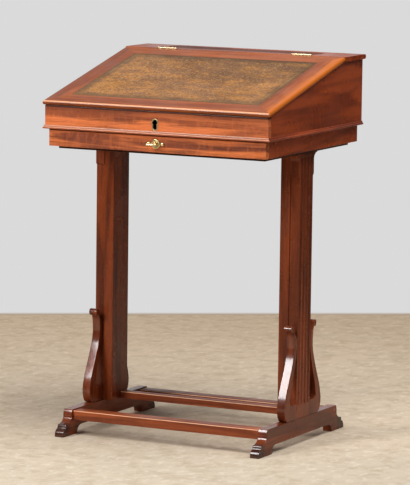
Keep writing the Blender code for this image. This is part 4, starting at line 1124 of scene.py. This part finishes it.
@dataclass
class Studio:
    """The floor, the backdrop, the lights and the camera."""

    azimuth: float = 26.903
    elevation: float = 7.486
    roll: float = 0.717
    distance: float = 8.102
    aim: tuple[float, float, float] = (0.00315, 0.0068, 0.4562)
    lens: float = 299.7
    backdrop: float = 1.838
    wall_size: tuple[float, float] = (3.6, 3.2)
    floor_size: float = 60.0
    floor_fade: tuple[float, float] = (2.3, 4.4)
    wall_turn: float = 4.7
    floor_tone: Colour = shade(216, 197, 173)
    far_painted_shade_tone: Colour = shade(220, 206, 186)
    near_painted_shade_tone: Colour = shade(212, 226, 236)
    wall_tone: Colour = shade(218, 218, 218)
    foot_tone: Colour = shade(176, 158, 138)
    wall_foot: tuple[float, float] = (0.001, 0.009)
    patch_tone: Colour = shade(210, 193, 170)
    mottle_tone: Colour = shade(184, 161, 132)
    speck_tone: Colour = shade(240, 226, 208)
    sky_tone: Colour = shade(226, 226, 228)
    sky_strength: float = 0.14
    sensor: float = 36.0
    clip: float = 100.0

    def axes(self) -> tuple[Vector, Vector, Vector]:
        """Give the camera's right, up and back directions, before its roll.

        Returns:
            The three directions.
        """
        turn, rise = math.radians(self.azimuth), math.radians(self.elevation)
        right = Vector((math.cos(turn), math.sin(turn), 0.0))
        back = Vector((math.sin(turn) * math.cos(rise), -math.cos(turn) * math.cos(rise), math.sin(rise)))
        return right, back.cross(right), back

    def build(self) -> None:
        """Set up the whole studio."""
        self.camera()
        self.floor()
        self.wall()
        self.lights()

    def camera(self) -> None:
        """Set the camera where the photograph was taken."""
        right, up, back = self.axes()
        tilt = math.radians(self.roll)
        side = math.cos(tilt) * right + math.sin(tilt) * up
        top = -math.sin(tilt) * right + math.cos(tilt) * up
        target = Vector((0.0, self.aim[1], self.aim[2])) + right * self.aim[0]
        data = bpy.data.cameras.new("photo_camera")
        data.sensor_fit = "HORIZONTAL"
        data.sensor_width = self.sensor
        data.lens = self.lens
        data.clip_end = self.clip
        camera = bpy.data.objects.new("photo_camera", data)
        bpy.context.scene.collection.objects.link(camera)
        spin = Matrix((side, top, back)).transposed().to_4x4()
        camera.matrix_world = Matrix.Translation(target + back * self.distance) @ spin
        bpy.context.scene.camera = camera

    def floor(self) -> None:
        """Lay the pale floor."""
        bpy.ops.object.select_all(action="DESELECT")
        bpy.ops.mesh.primitive_plane_add(size=self.floor_size)
        floor = bpy.context.active_object
        floor.name = "studio_floor"
        graph = FinishGraph("pale_floor")
        at = graph.place()
        clouds = graph.noise(at, 2.6, 6.0, 0.65, 0.5)
        mottles = graph.noise(at, 17.0, 7.0, 0.76, 0.4)
        specks = graph.noise(graph.stretch(at, 1.0, 0.6), 46.0, 4.0, 0.65)
        tone = graph.blend(graph.span(clouds, 0.35, 0.68, 0.0, 0.60), self.floor_tone, self.patch_tone)
        tone = graph.blend(graph.span(mottles, 0.44, 0.66, 0.0, 0.58), tone, self.mottle_tone)
        tone = graph.blend(graph.span(specks, 0.50, 0.68, 0.0, 0.42), tone, self.speck_tone)
        # Painted shade: the floor darkens with distance behind the table and is toned down near the camera,
        # standing in for the fall-off of the lamps' light
        _, _, back = self.axes()
        sight = graph.node("ShaderNodeVectorMath", operation="DOT_PRODUCT")
        graph.feed(sight.inputs[0], at)
        sight.inputs[1].default_value = -back
        far = graph.span(sight.outputs["Value"], 0.5, 1.7, 0.0, 0.36)
        tone = graph.blend(far, tone, self.far_painted_shade_tone, "MULTIPLY")
        near = graph.span(sight.outputs["Value"], 0.2, -0.6, 0.0, 0.3)
        tone = graph.blend(near, tone, self.near_painted_shade_tone, "MULTIPLY")
        graph.set(Base_Color=tone, Roughness=0.75, Specular_IOR_Level=0.15)
        distance = graph.node("ShaderNodeVectorMath", operation="LENGTH")
        graph.feed(distance.inputs[0], at)
        glow = graph.node("ShaderNodeEmission")
        graph.feed(glow.inputs["Color"], self.wall_tone)
        camera_ray = graph.node("ShaderNodeLightPath").outputs["Is Camera Ray"]
        faded = graph.sum("MULTIPLY", graph.span(distance.outputs["Value"], *self.floor_fade), camera_ray)
        graph.mix_shader(faded, graph.shader.outputs["BSDF"], glow.outputs["Emission"], True)
        Bench.dress(floor, graph.material)

    def wall(self) -> None:
        """Stand the plain grey backdrop behind the table; from behind it lets view and light through."""
        _, _, back = self.axes()
        level = Vector((back.x, back.y, 0.0)).normalized()
        level.rotate(Matrix.Rotation(math.radians(self.wall_turn), 3, "Z"))
        right = Vector((0, 0, 1)).cross(level)
        bpy.ops.object.select_all(action="DESELECT")
        bpy.ops.mesh.primitive_plane_add(size=1.0)
        wall = bpy.context.active_object
        wall.scale = (self.wall_size[0], self.wall_size[1], 1.0)
        wall.name = "studio_backdrop"
        spin = Matrix((right, Vector((0, 0, 1)), level)).transposed().to_4x4()
        place = Vector((self.aim[0], self.aim[1], self.wall_size[1] / 2)) - level * self.backdrop
        Bench.settle(wall, Matrix.Translation(place) @ spin)
        graph = FinishGraph("grey_backdrop")
        light_path = graph.node("ShaderNodeLightPath")
        glow = graph.node("ShaderNodeEmission")
        # Painted shade: a thin darker strip along the foot of the backdrop, where it meets the floor
        _, _, height = graph.split(graph.place())
        tone = graph.blend(graph.span(height, *self.wall_foot), self.foot_tone, self.wall_tone)
        graph.feed(glow.inputs["Color"], tone)
        clear = graph.node("ShaderNodeBsdfTransparent")
        facing = graph.node("ShaderNodeNewGeometry")
        seen = graph.sum("MAXIMUM", light_path.outputs["Is Camera Ray"], light_path.outputs["Is Glossy Ray"])
        graph.set(Base_Color=self.wall_tone, Roughness=0.9)
        front = graph.mix_shader(seen, graph.shader.outputs["BSDF"], glow.outputs["Emission"])
        through = graph.sum("MAXIMUM", facing.outputs["Backfacing"], light_path.outputs["Is Shadow Ray"])
        graph.mix_shader(through, front, clear.outputs["BSDF"], True)
        Bench.dress(wall, graph.material)

    def lamp(self, name: str, place: Vector, aim: Vector, size: tuple[float, float], watts: float) -> None:
        """Hang one soft box.

        Args:
            name: The lamp's name.
            place: Where it hangs.
            aim: What it points at.
            size: Its width and height.
            watts: Its power.
        """
        data = bpy.data.lights.new(name, "AREA")
        data.shape = "RECTANGLE"
        data.size, data.size_y = size
        data.energy = watts
        lamp = bpy.data.objects.new(name, data)
        bpy.context.scene.collection.objects.link(lamp)
        spin = (aim - place).to_track_quat("-Z", "Y").to_matrix().to_4x4()
        lamp.matrix_world = Matrix.Translation(place) @ spin

    def lights(self) -> None:
        """Light the table softly from above its right side, with less from the front left."""
        middle = Vector((0.0, 0.0, 0.6))
        self.lamp("overhead_softbox", Vector((0.95, -0.45, 3.0)), middle, size=(2.0, 1.7), watts=88.0)
        self.lamp("front_left_softbox", Vector((-1.27, -2.60, 2.00)), middle, size=(1.0, 1.2), watts=68.0)
        self.sky()
        bpy.context.scene.view_settings.view_transform = "Standard"

    def sky(self) -> None:
        """Give a faint even light all round, behind which the camera sees the backdrop's grey."""
        world = bpy.data.worlds.new("studio_world")
        bpy.context.scene.world = world
        world.use_nodes = True
        tree = world.node_tree
        faint = tree.nodes["Background"]
        faint.inputs["Color"].default_value = (*self.sky_tone, 1.0)
        faint.inputs["Strength"].default_value = self.sky_strength
        plain = tree.nodes.new("ShaderNodeBackground")
        plain.inputs["Color"].default_value = (*self.wall_tone, 1.0)
        either = tree.nodes.new("ShaderNodeMixShader")
        path = tree.nodes.new("ShaderNodeLightPath")
        tree.links.new(path.outputs["Is Camera Ray"], either.inputs[0])
        tree.links.new(faint.outputs["Background"], either.inputs[1])
        tree.links.new(plain.outputs["Background"], either.inputs[2])
        tree.links.new(either.outputs["Shader"], tree.nodes["World Output"].inputs["Surface"])


def main() -> None:
    """Build every part of the table and the studio."""
    logging.basicConfig(level=logging.INFO, format="%(name)s: %(message)s")
    Studio().build()
    EndSupport("left").build()
    EndSupport("right", cut=0.55).build()
    Stretchers().build()
    DeskBox().build()
    WritingLid().build()
    Hinges().build()
    LidLock().build()
    FriezeDrawer().build()


if __name__ == "__main__":
    main()
